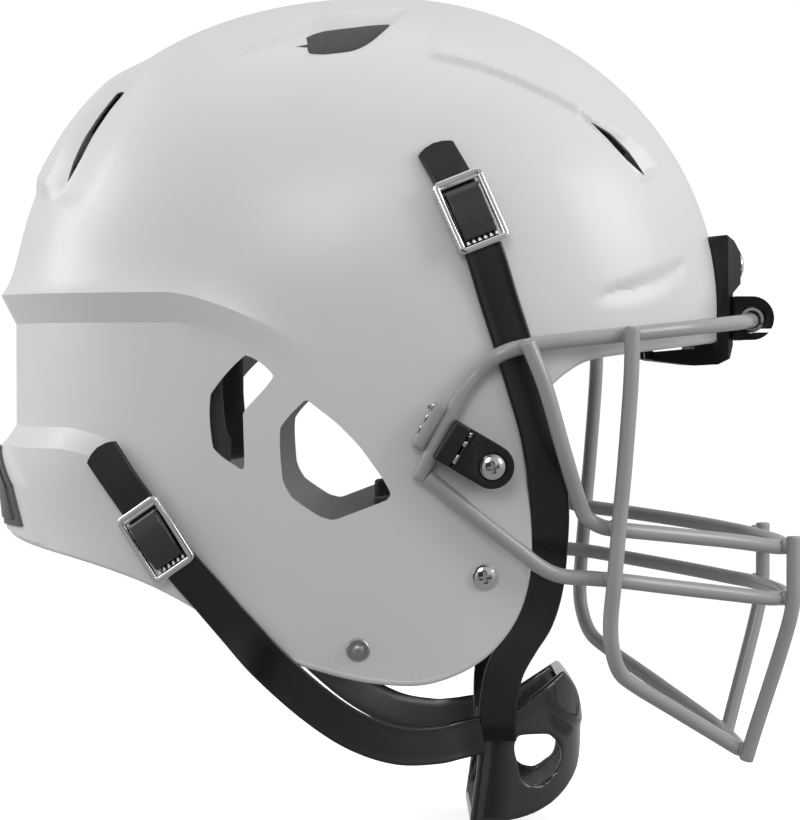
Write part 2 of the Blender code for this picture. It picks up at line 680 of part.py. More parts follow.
# the cup in side view: its front from the lip down and back under the chin, then its rear edge back up
CUP_FRONT = [(94.7, -91.5), (100.2, -99), (103, -109), (103.7, -120.7), (101.5, -134), (93.4, -144.3),
             (82.7, -150.4), (69, -153.5), (55.2, -153.5)]
CUP_REAR = [(58.2, -132), (60, -113), (73.5, -107), (86, -98)]
CUP_CENTRE_X = 56
CUP_HALF = 38.5
CUP_LENGTH = 48
CUP_WALL = 3.4
CUP_PAD = 4.5
CUP_PAD_SHY = 1.5
CUP_VENT = [(71.5, -123.5), (76, -117.6), (89.5, -118), (94.4, -124.5), (93, -132), (85, -138.6),
            (78, -136.6)]


def inward(points, distance):
    """An open line of points moved to its right by a distance."""
    moved = []
    for i, spot in enumerate(points):
        ahead = Vector(points[min(i + 1, len(points) - 1)]) - Vector(points[max(i - 1, 0)])
        ahead.normalize()
        moved.append((spot[0] + ahead.y * distance, spot[1] - ahead.x * distance))
    return moved


def cup_plan(name, inset):
    half, length = CUP_HALF - inset, CUP_LENGTH - inset
    nose = [(CUP_CENTRE_X + length * math.cos(a) ** 0.9, half * math.copysign(abs(math.sin(a)) ** 0.9, math.sin(a)))
            for a in (math.radians(-90 + 9 * i) for i in range(1, 20))]
    outline = [(20, -half), (CUP_CENTRE_X, -half), *nose, (CUP_CENTRE_X, half), (20, half)]
    return cutter(name, *prism(outline, -175, -60, "z"))


def cup_solid(name, inset, material):
    shy = CUP_PAD_SHY if inset else 0
    rear = [(x + shy, z - shy) for x, z in CUP_REAR]
    front = inward(CUP_FRONT, inset)
    item = make(name, *prism(front + rear, -60, 60), material)
    combine(item, cup_plan(f"cut_plan_{name}", inset), "INTERSECT")
    return item


def cup_hollow(name, inset):
    front = inward(CUP_FRONT, inset)
    item = cutter(name, *prism([(front[0][0], -60), *front, (30, front[-1][1]), (30, -60)], -60, 60))
    combine(item, cup_plan(f"cut_plan_{name}", inset), "INTERSECT")
    return item


def build_chin_cup(plastic, foam):
    cup = cup_solid("chin_cup", 0, plastic)
    combine(cup, cup_hollow("cut_cup_hollow", CUP_WALL))
    combine(cup, cutter("cut_cup_vent", *prism(CUP_VENT, -60, 60)))
    hang_on(cup, SWING_PIVOT)
    pad = cup_solid("chin_cup_pad", CUP_WALL + GAP, foam)
    combine(pad, cup_hollow("cut_pad_hollow", CUP_WALL + GAP + CUP_PAD))
    combine(pad, cutter("cut_pad_vent", *prism(CUP_VENT, -60, 60)))


# ---------- assembly ----------

def main():
    clear_scene()
    white = finish_colour("shell_white", (0.8, 0.8, 0.8), 0.35)
    black = finish_colour("clip_black", (0.03, 0.03, 0.03), 0.35)
    gloss = finish_colour("cup_black", (0.02, 0.02, 0.02), 0.12)
    grey = finish_colour("bumper_grey", (0.12, 0.12, 0.12), 0.5)
    coat = finish_colour("guard_grey", (0.3, 0.3, 0.3), 0.4)
    liner = finish_colour("liner_black", (0.04, 0.04, 0.04), 0.8)
    webbing = finish_colour("strap_black", (0.02, 0.02, 0.02), 0.4)
    chrome = finish_colour("chrome", (0.8, 0.8, 0.8), 0.12, 1.0)
    zinc = finish_colour("zinc", (0.5, 0.5, 0.5), 0.35, 1.0)

    build_shell(white)
    core = shell_core("cut_core", GAP + 0.2)
    build_front_bumper(black, core)
    build_rear_bumper(grey)
    build_pads(liner)
    build_guard(coat)
    for word, side in SIDES.items():
        build_side_clip(word, side, black)
        build_front_clip(word, side, black)
    build_fasteners(chrome, zinc)
    build_straps(webbing)
    build_buckles(chrome, zinc)
    build_chin_cup(gloss, liner)


main()
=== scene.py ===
import json
import math

import bmesh
import bpy
from mathutils import Matrix, Vector

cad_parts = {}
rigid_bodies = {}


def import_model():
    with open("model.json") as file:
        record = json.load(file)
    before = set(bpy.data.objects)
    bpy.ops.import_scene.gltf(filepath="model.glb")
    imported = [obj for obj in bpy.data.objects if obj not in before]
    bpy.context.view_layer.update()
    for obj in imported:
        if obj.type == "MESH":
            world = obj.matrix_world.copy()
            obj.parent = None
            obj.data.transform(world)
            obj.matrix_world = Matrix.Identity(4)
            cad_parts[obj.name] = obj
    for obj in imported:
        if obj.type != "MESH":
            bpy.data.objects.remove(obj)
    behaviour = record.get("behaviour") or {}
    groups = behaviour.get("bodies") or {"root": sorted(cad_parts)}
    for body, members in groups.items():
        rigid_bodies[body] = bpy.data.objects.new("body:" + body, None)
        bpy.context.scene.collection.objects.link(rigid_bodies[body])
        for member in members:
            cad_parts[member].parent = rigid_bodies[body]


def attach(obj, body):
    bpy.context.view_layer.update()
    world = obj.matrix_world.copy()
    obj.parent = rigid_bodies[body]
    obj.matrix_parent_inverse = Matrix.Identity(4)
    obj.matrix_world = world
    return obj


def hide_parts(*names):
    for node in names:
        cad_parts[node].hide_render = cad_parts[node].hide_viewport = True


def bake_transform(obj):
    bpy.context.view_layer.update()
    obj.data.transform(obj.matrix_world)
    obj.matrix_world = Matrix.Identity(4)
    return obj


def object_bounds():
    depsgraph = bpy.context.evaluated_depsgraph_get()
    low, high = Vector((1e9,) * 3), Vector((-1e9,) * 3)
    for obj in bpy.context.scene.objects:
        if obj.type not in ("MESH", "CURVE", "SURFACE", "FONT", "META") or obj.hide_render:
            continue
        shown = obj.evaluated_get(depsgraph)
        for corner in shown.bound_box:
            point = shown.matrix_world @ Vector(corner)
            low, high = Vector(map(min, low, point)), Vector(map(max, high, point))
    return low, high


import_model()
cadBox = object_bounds()
mm = 0.001
sides = {"right": -1, "left": 1}


# small helpers

def deselectAll():
    if bpy.context.mode != "OBJECT":
        bpy.ops.object.mode_set(mode="OBJECT")
    bpy.ops.object.select_all(action="DESELECT")


def only(item):
    deselectAll()
    item.select_set(True)
    bpy.context.view_layer.objects.active = item


def cleanMesh(item, gap=0.00001):
    # merges doubles and turns faces out
    form = bmesh.new()
    form.from_mesh(item.data)
    bmesh.ops.remove_doubles(form, verts=form.verts, dist=gap)
    bmesh.ops.recalc_face_normals(form, faces=form.faces)
    form.to_mesh(item.data)
    form.free()


def smoothBy(item, angle):
    only(item)
    bpy.ops.object.shade_smooth_by_angle(angle=math.radians(angle))


def meshFrom(name, points, faces, smoothAngle=40, tidy=True):
    # points are in millimetres
    mesh = bpy.data.meshes.new(name)
    mesh.from_pydata([Vector(p) * mm for p in points], [], faces)
    item = bpy.data.objects.new(name, mesh)
    bpy.context.scene.collection.objects.link(item)
    if tidy:
        cleanMesh(item)
    smoothBy(item, smoothAngle)
    return item


def skinFaces(rings, count, closed=False, caps=True, base=0):
    # quads between rings of points, with a face over each open end
    faces = []
    for i in range(rings if closed else rings - 1):
        j = (i + 1) % rings
        for k in range(count):
            m = (k + 1) % count
            faces.append([base + i * count + k, base + i * count + m, base + j * count + m, base + j * count + k])
    if caps and not closed:
        faces.append([base + k for k in range(count)][::-1])
        faces.append([base + (rings - 1) * count + k for k in range(count)])
    return faces


def aimedAlong(path, i):
    return (path[min(i + 1, len(path) - 1)] - path[max(i - 1, 0)]).normalized()


def frameOf(first, second, third, spot):
    matrix = Matrix((first, second, third)).transposed().to_4x4()
    matrix.translation = spot
    return matrix


def applyAll(item):
    only(item)
    for step in list(item.modifiers):
        bpy.ops.object.modifier_apply(modifier=step.name)


def addStep(item, kind, **settings):
    step = item.modifiers.new(kind.lower(), kind)
    for key, value in settings.items():
        setattr(step, key, value)


def cutWith(item, tool, how="DIFFERENCE", least=0.3):
    # a boolean, tried again with the tool moved a hair where the solver loses the piece
    keep = item.data.copy()
    for nudge in range(5):
        addStep(item, "BOOLEAN", operation=how, object=tool, solver="EXACT")
        applyAll(item)
        if len(item.data.vertices) > least * len(keep.vertices):
            break
        lost = item.data
        item.data = keep.copy()
        bpy.data.meshes.remove(lost)
        tool.data.transform(Matrix.Translation((0.00003, 0.00002 * (nudge + 1), 0.00004)))
    bpy.data.meshes.remove(keep)
    bpy.data.objects.remove(tool, do_unlink=True)


def roundEdges(item, width, segments=3, angle=35):
    addStep(item, "BEVEL", width=width * mm, segments=segments, limit_method="ANGLE",
            angle_limit=math.radians(angle), harden_normals=False)
    applyAll(item)
    smoothBy(item, 45)


def remeshed(item, voxel, rounds):
    # one even skin, with its edges relaxed
    addStep(item, "REMESH", mode="VOXEL", voxel_size=voxel * mm)
    addStep(item, "SMOOTH", factor=0.5, iterations=rounds)
    applyAll(item)


def bakePlace(item):
    only(item)
    bpy.ops.object.transform_apply(location=True, rotation=True, scale=True)


def placeBy(item, matrix):
    # moves a piece modelled at the origin by a frame given in millimetres
    scaled = matrix.copy()
    scaled.translation = matrix.translation * mm
    item.data.transform(scaled)
    if scaled.determinant() < 0:
        item.data.flip_normals()
    item.data.update()


def copyOf(item, name):
    twin = item.copy()
    twin.data = item.data.copy()
    twin.name = name
    twin.data.name = name
    bpy.context.scene.collection.objects.link(twin)
    return twin


def joinInto(name, pieces):
    deselectAll()
    for piece in pieces:
        piece.select_set(True)
    bpy.context.view_layer.objects.active = pieces[0]
    if len(pieces) > 1:
        bpy.ops.object.join()
    pieces[0].name = name
    return pieces[0]


def prismMesh(name, outline, low, high, axis="y"):
    place = {"x": lambda a, b, d: (d, a, b), "y": lambda a, b, d: (a, d, b), "z": lambda a, b, d: (a, b, d)}[axis]
    count = len(outline)
    points = [place(a, b, low) for a, b in outline] + [place(a, b, high) for a, b in outline]
    faces = [list(range(count)), list(range(count, 2 * count))]
    faces += [[i, (i + 1) % count, (i + 1) % count + count, i + count] for i in range(count)]
    return meshFrom(name, points, faces, 20)


def boxMesh(name, x0, x1, y0, y1, low, high):
    return prismMesh(name, [(x0, y0), (x1, y0), (x1, y1), (x0, y1)], low, high, "z")


def curveBetween(a, b, c, d, t):
    # a smooth curve from b to c
    return 0.5 * (2 * b + (c - a) * t + (2 * a - 5 * b + 4 * c - d) * t * t + (3 * b - a - 3 * c + d) * t ** 3)


def curveWith(points, carried, spacing):
    # a smooth path through the points, and what is carried along it, at every spacing
    padded = [2 * points[0] - points[1]] + points + [2 * points[-1] - points[-2]]
    loads = [carried[0]] + carried + [carried[-1]]
    path, outs = [], []
    for i in range(1, len(padded) - 2):
        steps = max(1, round((padded[i + 1] - padded[i]).length / spacing))
        for step in range(steps):
            path.append(curveBetween(*padded[i - 1:i + 3], step / steps))
            outs.append(curveBetween(*loads[i - 1:i + 3], step / steps))
    return path + [points[-1]], outs + [carried[-1]]


def curvePath(points, spacing=2.0):
    points = [Vector(p) for p in points]
    return curveWith(points, points, spacing)[0]


def flatCurve(points, spacing):
    return [(p.x, p.y) for p in curvePath([(a, b, 0) for a, b in points], spacing)]


def softLoop(points, spacing):
    # a closed outline with its corners eased
    count = len(points)
    loop = []
    for i in range(count):
        a, b, c, d = (Vector(points[(i + k) % count]) for k in (-1, 0, 1, 2))
        steps = max(1, round((c - b).length / spacing))
        for step in range(steps):
            t = step / steps
            loop.append((b.lerp(c, t) * 0.5 + curveBetween(a, b, c, d, t) * 0.5)[:])
    return loop


def ramp(value, low, high):
    return min(1.0, max(0.0, (value - low) / (high - low)))


def ease(value, low, high):
    t = ramp(value, low, high)
    return t * t * (3 - 2 * t)


def between(value, points):
    # reads a height from a list of (x, height) points
    if value <= points[0][0]:
        return points[0][1]
    for (x0, h0), (x1, h1) in zip(points, points[1:]):
        if value <= x1:
            return h0 + (h1 - h0) * (value - x0) / (x1 - x0)
    return points[-1][1]


# finishes

def feed(tree, target, feeds):
    # each input takes a value, or another node's output
    for socket, value in feeds.items():
        if isinstance(value, bpy.types.NodeSocket):
            tree.links.new(value, target.inputs[socket])
        else:
            target.inputs[socket].default_value = value


def addNode(tree, kind, feeds, **settings):
    made = tree.nodes.new("ShaderNode" + kind)
    for key, value in settings.items():
        setattr(made, key, value)
    feed(tree, made, feeds)
    return made.outputs


def times(tree, a, b):
    return addNode(tree, "Math", {0: a, 1: b}, operation="MULTIPLY")[0]


def mapped(tree, value, low, high, toLow=0.0, toHigh=1.0, kind="LINEAR"):
    feeds = {"Value": value, "From Min": low, "From Max": high, "To Min": toLow, "To Max": toHigh}
    return addNode(tree, "MapRange", feeds, interpolation_type=kind)["Result"]


def mixed(tree, factor, a, b, kind="RGBA"):
    return addNode(tree, "Mix", {"Factor": factor, "A": a, "B": b}, data_type=kind)["Result"]


def newGroup(name, inputs, outputs):
    group = bpy.data.node_groups.new(name, "ShaderNodeTree")
    for label, kind, value in inputs:
        socket = group.interface.new_socket(name=label, in_out="INPUT", socket_type="NodeSocket" + kind)
        if value is not None:
            socket.default_value = value
    for label, kind in outputs:
        group.interface.new_socket(name=label, in_out="OUTPUT", socket_type="NodeSocket" + kind)
    return group, group.nodes.new("NodeGroupInput").outputs, group.nodes.new("NodeGroupOutput")


def grainGroup():
    # fine moulded or painted texture: the colour shifts a little, with a height for bump
    group, given, result = newGroup(
        "fineGrain",
        [("Vector", "Vector", None), ("Scale", "Float", 400.0), ("Spread", "Float", 0.08),
         ("Color", "Color", (0.8, 0.8, 0.8, 1)), ("Dirt", "Color", (0.5, 0.5, 0.5, 1))],
        [("Color", "Color"), ("Height", "Float"), ("Mask", "Float")])
    fine = addNode(group, "TexNoise", {"Vector": given["Vector"], "Scale": given["Scale"], "Detail": 4})
    broad = addNode(group, "TexNoise", {"Vector": given["Vector"], "Scale": 22, "Detail": 3})
    mask = mapped(group, broad["Fac"], 0.42, 0.75)
    tint = mixed(group, times(group, mask, given["Spread"]), given["Color"], given["Dirt"])
    feed(group, result, {"Color": tint, "Height": fine["Fac"], "Mask": mask})
    return group


def weaveGroup():
    # plain weave on a map laid in millimetres
    group, given, result = newGroup("plainWeave", [("Vector", "Vector", None), ("Threads", "Float", 1.0)],
                                    [("Height", "Float")])
    feeds = {"Vector": given["Vector"], "Scale": given["Threads"], "Distortion": 0.6, "Detail": 1}
    warp, weft = (addNode(group, "TexWave", feeds, bands_direction=way)["Fac"] for way in "XY")
    feed(group, result, {"Height": times(group, warp, weft)})
    return group


def wearGroup():
    # sparse fine scratches and rubbed spots, as a mask
    group, given, result = newGroup(
        "rubWear", [("Vector", "Vector", None), ("Scale", "Float", 60.0), ("Amount", "Float", 0.3)],
        [("Mask", "Float")])
    stretch = addNode(group, "Mapping", {"Vector": given["Vector"], "Scale": (1, 1, 7), "Rotation": (0.4, 0.7, 0.2)})
    lines = addNode(group, "TexNoise", {"Vector": stretch["Vector"], "Scale": given["Scale"], "Detail": 6,
                                        "Roughness": 0.7})
    feed(group, result, {"Mask": times(group, mapped(group, lines["Fac"], 0.6, 0.72), given["Amount"])})
    return group


fineGrain, plainWeave, rubWear = grainGroup(), weaveGroup(), wearGroup()
finishes = {
    "shell": {"colour": (0.80, 0.80, 0.80), "dirt": (0.74, 0.745, 0.75), "spread": 0.5, "grainScale": 900,
              "rough": (0.34, 0.42), "bump": 0.06, "coat": 0.12, "coatRough": 0.25, "wear": 0.06,
              "rubColour": (0.7, 0.7, 0.7), "wearScale": 30},
    "guard": {"colour": (0.40, 0.40, 0.405), "dirt": (0.34, 0.34, 0.345), "spread": 0.5, "grainScale": 700,
              "rough": (0.28, 0.4), "coat": 0.3, "coatRough": 0.15, "bump": 0.12, "wear": 0.15,
              "rubColour": (0.46, 0.46, 0.465)},
    "clip": {"colour": (0.008, 0.008, 0.008), "dirt": (0.016, 0.016, 0.016), "spread": 0.4, "grainScale": 800,
             "rough": (0.28, 0.42), "bump": 0.1, "wear": 0.2, "rubColour": (0.03, 0.03, 0.03)},
    "cup": {"colour": (0.03, 0.03, 0.03), "dirt": (0.04, 0.04, 0.04), "spread": 0.3, "grainScale": 500,
            "rough": (0.14, 0.22), "bump": 0.03, "coat": 0.5, "coatRough": 0.06, "wear": 0.1,
            "rubColour": (0.02, 0.02, 0.02)},
    "plate": {"colour": (0.075, 0.075, 0.078), "dirt": (0.11, 0.11, 0.11), "spread": 0.5, "grainScale": 900,
              "rough": (0.4, 0.55), "bump": 0.15, "wear": 0.2, "rubColour": (0.14, 0.14, 0.14)},
    "liner": {"colour": (0.026, 0.026, 0.028), "dirt": (0.05, 0.05, 0.05), "spread": 0.5, "grainScale": 500,
              "rough": (0.75, 0.9), "bump": 0.6, "bumpDeep": 0.0004, "threads": 420, "sheen": 0.3, "wear": 0.1},
    "strap": {"colour": (0.008, 0.008, 0.008), "dirt": (0.013, 0.013, 0.013), "spread": 0.4, "grainScale": 900,
              "rough": (0.26, 0.36), "bump": 0.25, "bumpDeep": 0.00012, "threads": 0.55, "onUv": True,
              "wear": 0.15, "rubColour": (0.02, 0.02, 0.02), "coat": 0.25, "coatRough": 0.2},
    "thread": {"colour": (0.05, 0.05, 0.05), "dirt": (0.09, 0.09, 0.09), "spread": 0.5, "grainScale": 2500,
               "rough": (0.6, 0.8), "bump": 0.5, "wear": 0.1},
    "sleeve": {"colour": (0.34, 0.34, 0.34), "dirt": (0.28, 0.28, 0.28), "spread": 0.5, "grainScale": 900,
               "rough": (0.55, 0.7), "bump": 0.1, "wear": 0.1},
    "chrome": {"colour": (0.78, 0.78, 0.79), "dirt": (0.66, 0.66, 0.67), "spread": 0.3, "grainScale": 600,
               "rough": (0.08, 0.16), "bump": 0.02, "metal": 1.0, "wear": 0.12, "rubColour": (0.6, 0.6, 0.6)},
    "zinc": {"colour": (0.5, 0.5, 0.51), "dirt": (0.38, 0.38, 0.39), "spread": 0.6, "grainScale": 700,
             "rough": (0.3, 0.42), "bump": 0.08, "metal": 1.0, "wear": 0.2, "rubColour": (0.6, 0.6, 0.6)},
}


def makeFinish(name, look):
    # a base colour with grain, roughness that varies, rub marks and a fine bump
    material = bpy.data.materials.new(name)
    material.use_nodes = True
    tree = material.node_tree
    coords = addNode(tree, "TexCoord", {})
    where = coords["Object"]
    grain = addNode(tree, "Group", {"Vector": where, "Scale": look["grainScale"], "Spread": look["spread"],
                                    "Color": (*look["colour"], 1), "Dirt": (*look["dirt"], 1)}, node_tree=fineGrain)
    wear = addNode(tree, "Group", {"Vector": where, "Scale": look.get("wearScale", 60), "Amount": look["wear"]},
                   node_tree=rubWear)
    height = grain["Height"]
    if "threads" in look:
        weave = {"Vector": coords["UV"] if look.get("onUv") else where, "Threads": look["threads"]}
        height = addNode(tree, "Group", weave, node_tree=plainWeave)["Height"]
    bump = addNode(tree, "Bump", {"Strength": look["bump"], "Distance": look.get("bumpDeep", 0.0001),
                                  "Height": height})
    feed(tree, tree.nodes["Principled BSDF"], {
        "Base Color": mixed(tree, wear["Mask"], grain["Color"], (*look.get("rubColour", look["dirt"]), 1)),
        "Roughness": mapped(tree, grain["Mask"], 0.0, 1.0, *look["rough"]), "Normal": bump["Normal"],
        "Metallic": look.get("metal", 0.0), "Coat Weight": look.get("coat", 0.0),
        "Coat Roughness": look.get("coatRough", 0.1), "Sheen Weight": look.get("sheen", 0.0)})
    return material


paint = {name: makeFinish(name + "Finish", look) for name, look in finishes.items()}


def wearing(item, finish, body="root", stands=()):
    item.data.materials.clear()
    item.data.materials.append(paint[finish])
    if body:
        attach(item, body)
    if stands:
        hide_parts(*stands)


print("materials ready")


# camera, lights and floor

studio = {"stand": (0.020, -1.381, 0.042), "aim": (0.0264, 0.0, 0.0184), "lens": 141.3,
          "floorRadius": 0.62, "floorGlow": 0.72, "backdrop": 1.06,
          "lamps": {"overhead": {"at": (0.1, -0.1, 1.6), "size": 1.4, "power": 4},
                    "front": {"at": (1.5, -0.5, 0.7), "size": 0.9, "power": 11},
                    "rear": {"at": (-1.5, 0.1, 0.6), "size": 0.9, "power": 9},
                    "fill": {"at": (-0.3, -1.9, 0.9), "size": 0.8, "power": 8}}}


def buildCamera(scene):
    camera = bpy.data.objects.new("camera", bpy.data.cameras.new("camera"))
    scene.collection.objects.link(camera)
    camera.location = studio["stand"]
    look = Vector(studio["aim"]) - Vector(studio["stand"])
    camera.rotation_euler = look.to_track_quat("-Z", "Y").to_euler()
    camera.data.lens = studio["lens"]
    camera.data.sensor_width = 36
    camera.data.clip_start = 0.05
    scene.camera = camera


def buildWorld(scene):
    world = bpy.data.worlds.new("studio")
    scene.world = world
    world.use_nodes = True
    tree = world.node_tree
    way = addNode(tree, "SeparateXYZ", {0: addNode(tree, "TexCoord", {})["Generated"]})
    depth = mapped(tree, way["Y"], -0.9, 0.5, 0.38, 0.5)                       # dim behind the camera
    lens = mapped(tree, way["Y"], -0.97, -0.86, 0.08, 1.12, "SMOOTHSTEP")      # the dark end of the studio
    low = mapped(tree, way["Z"], -0.45, 0.1, 0.63, 1.15, "SMOOTHSTEP")         # darker towards the ground
    high = mapped(tree, way["Z"], 0.25, 0.95, 1.0, 0.62, "SMOOTHSTEP")         # and a little overhead
    light = times(tree, depth, times(tree, lens, times(tree, low, high)))
    seen = addNode(tree, "LightPath", {})["Is Camera Ray"]
    feed(tree, tree.nodes["Background"], {"Color": (1, 1, 1, 1),
                                          "Strength": mixed(tree, seen, light, studio["backdrop"], "FLOAT")})


def buildFloor():
    deselectAll()
    bpy.ops.mesh.primitive_circle_add(vertices=96, radius=studio["floorRadius"], fill_type="NGON",
                                      location=(0, 0, cadBox[0][2] - 0.004))
    floor = bpy.context.active_object
    floor.name = "floor"
    bakePlace(floor)
    pale = bpy.data.materials.new("paleFloor")
    pale.use_nodes = True
    tree = pale.node_tree
    speck = addNode(tree, "TexNoise", {"Scale": 300})
    bump = addNode(tree, "Bump", {"Strength": 0.03, "Height": speck["Fac"]})
    feed(tree, tree.nodes["Principled BSDF"], {
        "Base Color": (0.9, 0.9, 0.9, 1), "Roughness": 0.9, "Normal": bump["Normal"],
        "Emission Color": (1, 1, 1, 1), "Emission Strength": studio["floorGlow"]})
    floor.data.materials.append(pale)
    floor.visible_diffuse = False
    floor.visible_glossy = False


def buildStudio():
    scene = bpy.context.scene
    scene.view_settings.view_transform = "Standard"
    buildCamera(scene)
    buildWorld(scene)
    for name, lamp in studio["lamps"].items():
        light = bpy.data.objects.new(name, bpy.data.lights.new(name, "AREA"))
        scene.collection.objects.link(light)
        light.location = lamp["at"]
        light.rotation_euler = (-Vector(lamp["at"])).to_track_quat("-Z", "Y").to_euler()
        light.data.size = lamp["size"]
        light.data.energy = lamp["power"]
    buildFloor()


buildStudio()
print("studio ready")


# the shell's surface, in millimetres: superellipse sections under a dome

shell = {"centreX": 20, "baseZ": 60, "rise": 133.8, "front": 142, "back": 157, "half": 114, "taper": 17, "drop": 148,
         "frontRound": 2.0, "sideRound": 2.2, "planRound": 2.3, "wall": 3.6, "skirtZ": -95,
         "ledgeZ": 67, "ledgeOut": 6.3, "ledgeDeep": 12, "flareZ": 12.5, "flareOut": 5.4, "flareDeep": 8.5,
         "bores": ((60.6, -1.0, 2.3), (59.5, -46.2, 2.3), (37.6, 21.4, 0.8))}
lowerEdge = [(-170, -24), (-140, -31), (-126, -34.5), (-105.5, -39), (-89, -43.6), (-73, -49.4), (-58, -56.8),
             (-41, -67), (-24, -76.7), (-5.4, -82.9), (12.8, -87.2), (31.2, -88.6), (44, -86), (56, -80),
             (64.5, -72.3), (71, -62.8), (75, -51.6), (76.7, -38), (76, -20), (74.2, -5), (73.8, 8), (77, 20),
             (84, 30), (92, 37), (101, 41.6), (116, 44.2), (163, 49.5), (190, 52)]
holes = {
    "ear": [(-11.8, 24), (-21.5, 13), (-20.8, -6.8), (-16.9, -14.6), (-6.3, -21.9), (-1.8, -23.3), (1, -23.1),
            (20.6, -15.5), (22, -12.4), (18.6, -6.2), (9.7, 6.1), (1, 15), (-9, 22.8)],
    "chevron": [(-35.3, 41.9), (-24.1, 33.7), (-35.6, 20), (-36.2, 16.7), (-35.8, -1.8), (-37.6, -3.2),
                (-48.4, 5.2), (-49.3, 26.2)],
    "rearVent": [(-88, 150.6), (-94, 142.6), (-100.4, 132.2), (-105.6, 121.6), (-110.6, 113), (-108.6, 121),
                 (-104, 131.6), (-97.6, 142), (-91, 150.6)],
    "topVent": [(-17, 168), (-6, 173), (6, 177.6), (15.5, 180), (16.4, 176.5), (8, 170.6), (0, 167.6), (-8, 166.6)],
    "frontVent": [(103.5, 136.6), (112, 132.2), (120, 124.8), (126.4, 115.4), (119, 121.4), (111, 129.6)],
}


def fall(z, rise, roundness):
    if z <= shell["baseZ"]:
        return 1.0
    return max(0.0, 1 - ((z - shell["baseZ"]) / rise) ** roundness) ** (1 / roundness)


def halfWidth(z, inset=0.0):
    if z < shell["baseZ"]:
        return shell["half"] - inset - shell["taper"] * ((shell["baseZ"] - z) / shell["drop"]) ** 1.6
    return (shell["half"] - inset) * fall(z, shell["rise"] - inset, shell["sideRound"])


def reachAt(z, isFront, inset=0.0):
    if isFront:
        return (shell["front"] - inset) * fall(z, shell["rise"] - inset, shell["frontRound"])
    return (shell["back"] - inset) * fall(z, shell["rise"] - inset, shell["sideRound"])


def ledgeLine(x):
    return shell["ledgeZ"] - 0.056 * max(0, x + 65) ** 1.5


def flareLine(x):
    return shell["flareZ"] - 0.16 * max(0, x + 108) ** 1.15


def relief(x, z):
    # the rear ledge and the flare over the nape
    line = ledgeLine(x)
    strength = shell["ledgeOut"] * (1 - ease(x, -98, 0))
    ledge = math.exp((line - z) / 9) if z >= line else max(0, 1 - (line - z) / shell["ledgeDeep"])
    flareStrength = shell["flareOut"] * (1 - ease(x, -112, -72))
    flare = min(1, max(0, (flareLine(x) - z) / shell["flareDeep"])) * (1 - 0.5 * ease(-z, 0, 35))
    return strength * ledge + flareStrength * flare


def alongAndAcross(x, z, spine):
    # nearest place on a spine: how far along it, 0 to 1 and beyond, and how far to its left
    best = None
    lengths = [math.dist(a, b) for a, b in zip(spine, spine[1:])]
    total = sum(lengths)
    run = 0.0
    for i, (a, b) in enumerate(zip(spine, spine[1:])):
        dx, dz = b[0] - a[0], b[1] - a[1]
        t = ((x - a[0]) * dx + (z - a[1]) * dz) / lengths[i] ** 2
        low = -9 if i == 0 else 0
        high = 9 if i == len(lengths) - 1 else 1
        t = min(high, max(low, t))
        px, pz = a[0] + dx * t, a[1] + dz * t
        away = math.dist((x, z), (px, pz))
        side = dx * (z - pz) - dz * (x - px)
        if best is None or away < best[0]:
            best = (away, (run + t * lengths[i]) / total, math.copysign(away, side))
        run += lengths[i]
    return best[1], best[2]


rearSpine = [(-86, 152), (-94.5, 142), (-101, 131.5), (-106.6, 120.5), (-112, 110.5)]
topSpine = [(-44, 161), (-26, 166.6), (-8, 169.8), (14, 172.6), (24, 173.4)]
frontSpine = [(100, 138.4), (108, 133), (115.5, 126.4), (122, 119), (128, 111.5)]
ridgeSpine = [(36, 163), (56, 158.4), (72, 152.6), (88, 145.6), (103, 137)]
browUpper = [(100, 66.2), (116, 72), (132, 78.6), (145, 83.4)]
browLower = [(100, 66), (120, 68), (133, 72.4), (140, 77), (145, 83)]


def scoops(x, z):
    # recesses and ridges round the vents, and the crescent over the brow; inwards is negative
    out = 0.0
    if x < -60 and z > 88:
        t, u = alongAndAcross(x, z, rearSpine)
        taper = ease(t, -0.35, 0.1) * (1 - ramp(t, 1.02, 1.16))
        if u > 0:
            out -= 2.0 * (1 - ease(u, 0, 16)) * taper
        else:
            crest = -2.0 + 5.0 * ramp(-u, 0.8, 6.5) if u > -6.5 else 3.0 * (1 - ease(-u, 8, 28))
            out += crest * taper
    if -60 < x < 45 and z > 150:
        t, u = alongAndAcross(x, z, topSpine)
        head = (x - 28.5) * 0.72 - (z - 182.6) * 0.69    # distance past the slanted end face
        reachUp = 1.0 + 11.5 * ease(t, -0.05, 0.6)
        floorShape = (1 - ramp(u, 0.66 * reachUp, reachUp)) * ease(u, -8, 0)
        out -= 6.2 * floorShape * ramp(t, 0.0, 0.6) * (1 - ramp(head, -5, -0.6))
    if 85 < x < 140 and 100 < z < 150:
        t, u = alongAndAcross(x, z, frontSpine)
        width = 1.5 + 7.5 * ramp(t, 0.1, 0.65)
        rim = (1 - ramp(u, 0.1 * width, width)) * ramp(u, -2.0, 0.2)
        out -= 6.0 * rim * ramp(t, -0.1, 0.5) * (1 - ramp(t, 0.88, 0.98))
    if 20 < x < 125 and z > 110:
        t, u = alongAndAcross(x, z, ridgeSpine)
        if -0.1 < t < 1.1:
            out += 1.9 * ramp(u, -0.8, 0.8) * (1 - ease(u, 1, 22)) * ease(t, -0.02, 0.1) * (1 - ramp(t, 0.9, 1.05))
    if 98 < x < 147 and 60 < z < 90:
        top, low = between(x, browUpper), between(x, browLower)
        if z < top and top - low > 0.3:
            slope = min(1.0, (top - z) / max(top - low, 3.5))
            out -= 1.5 * slope * (1 - ease(low - z, -2, 7)) * ease(top - low, 0.3, 4)
    return out


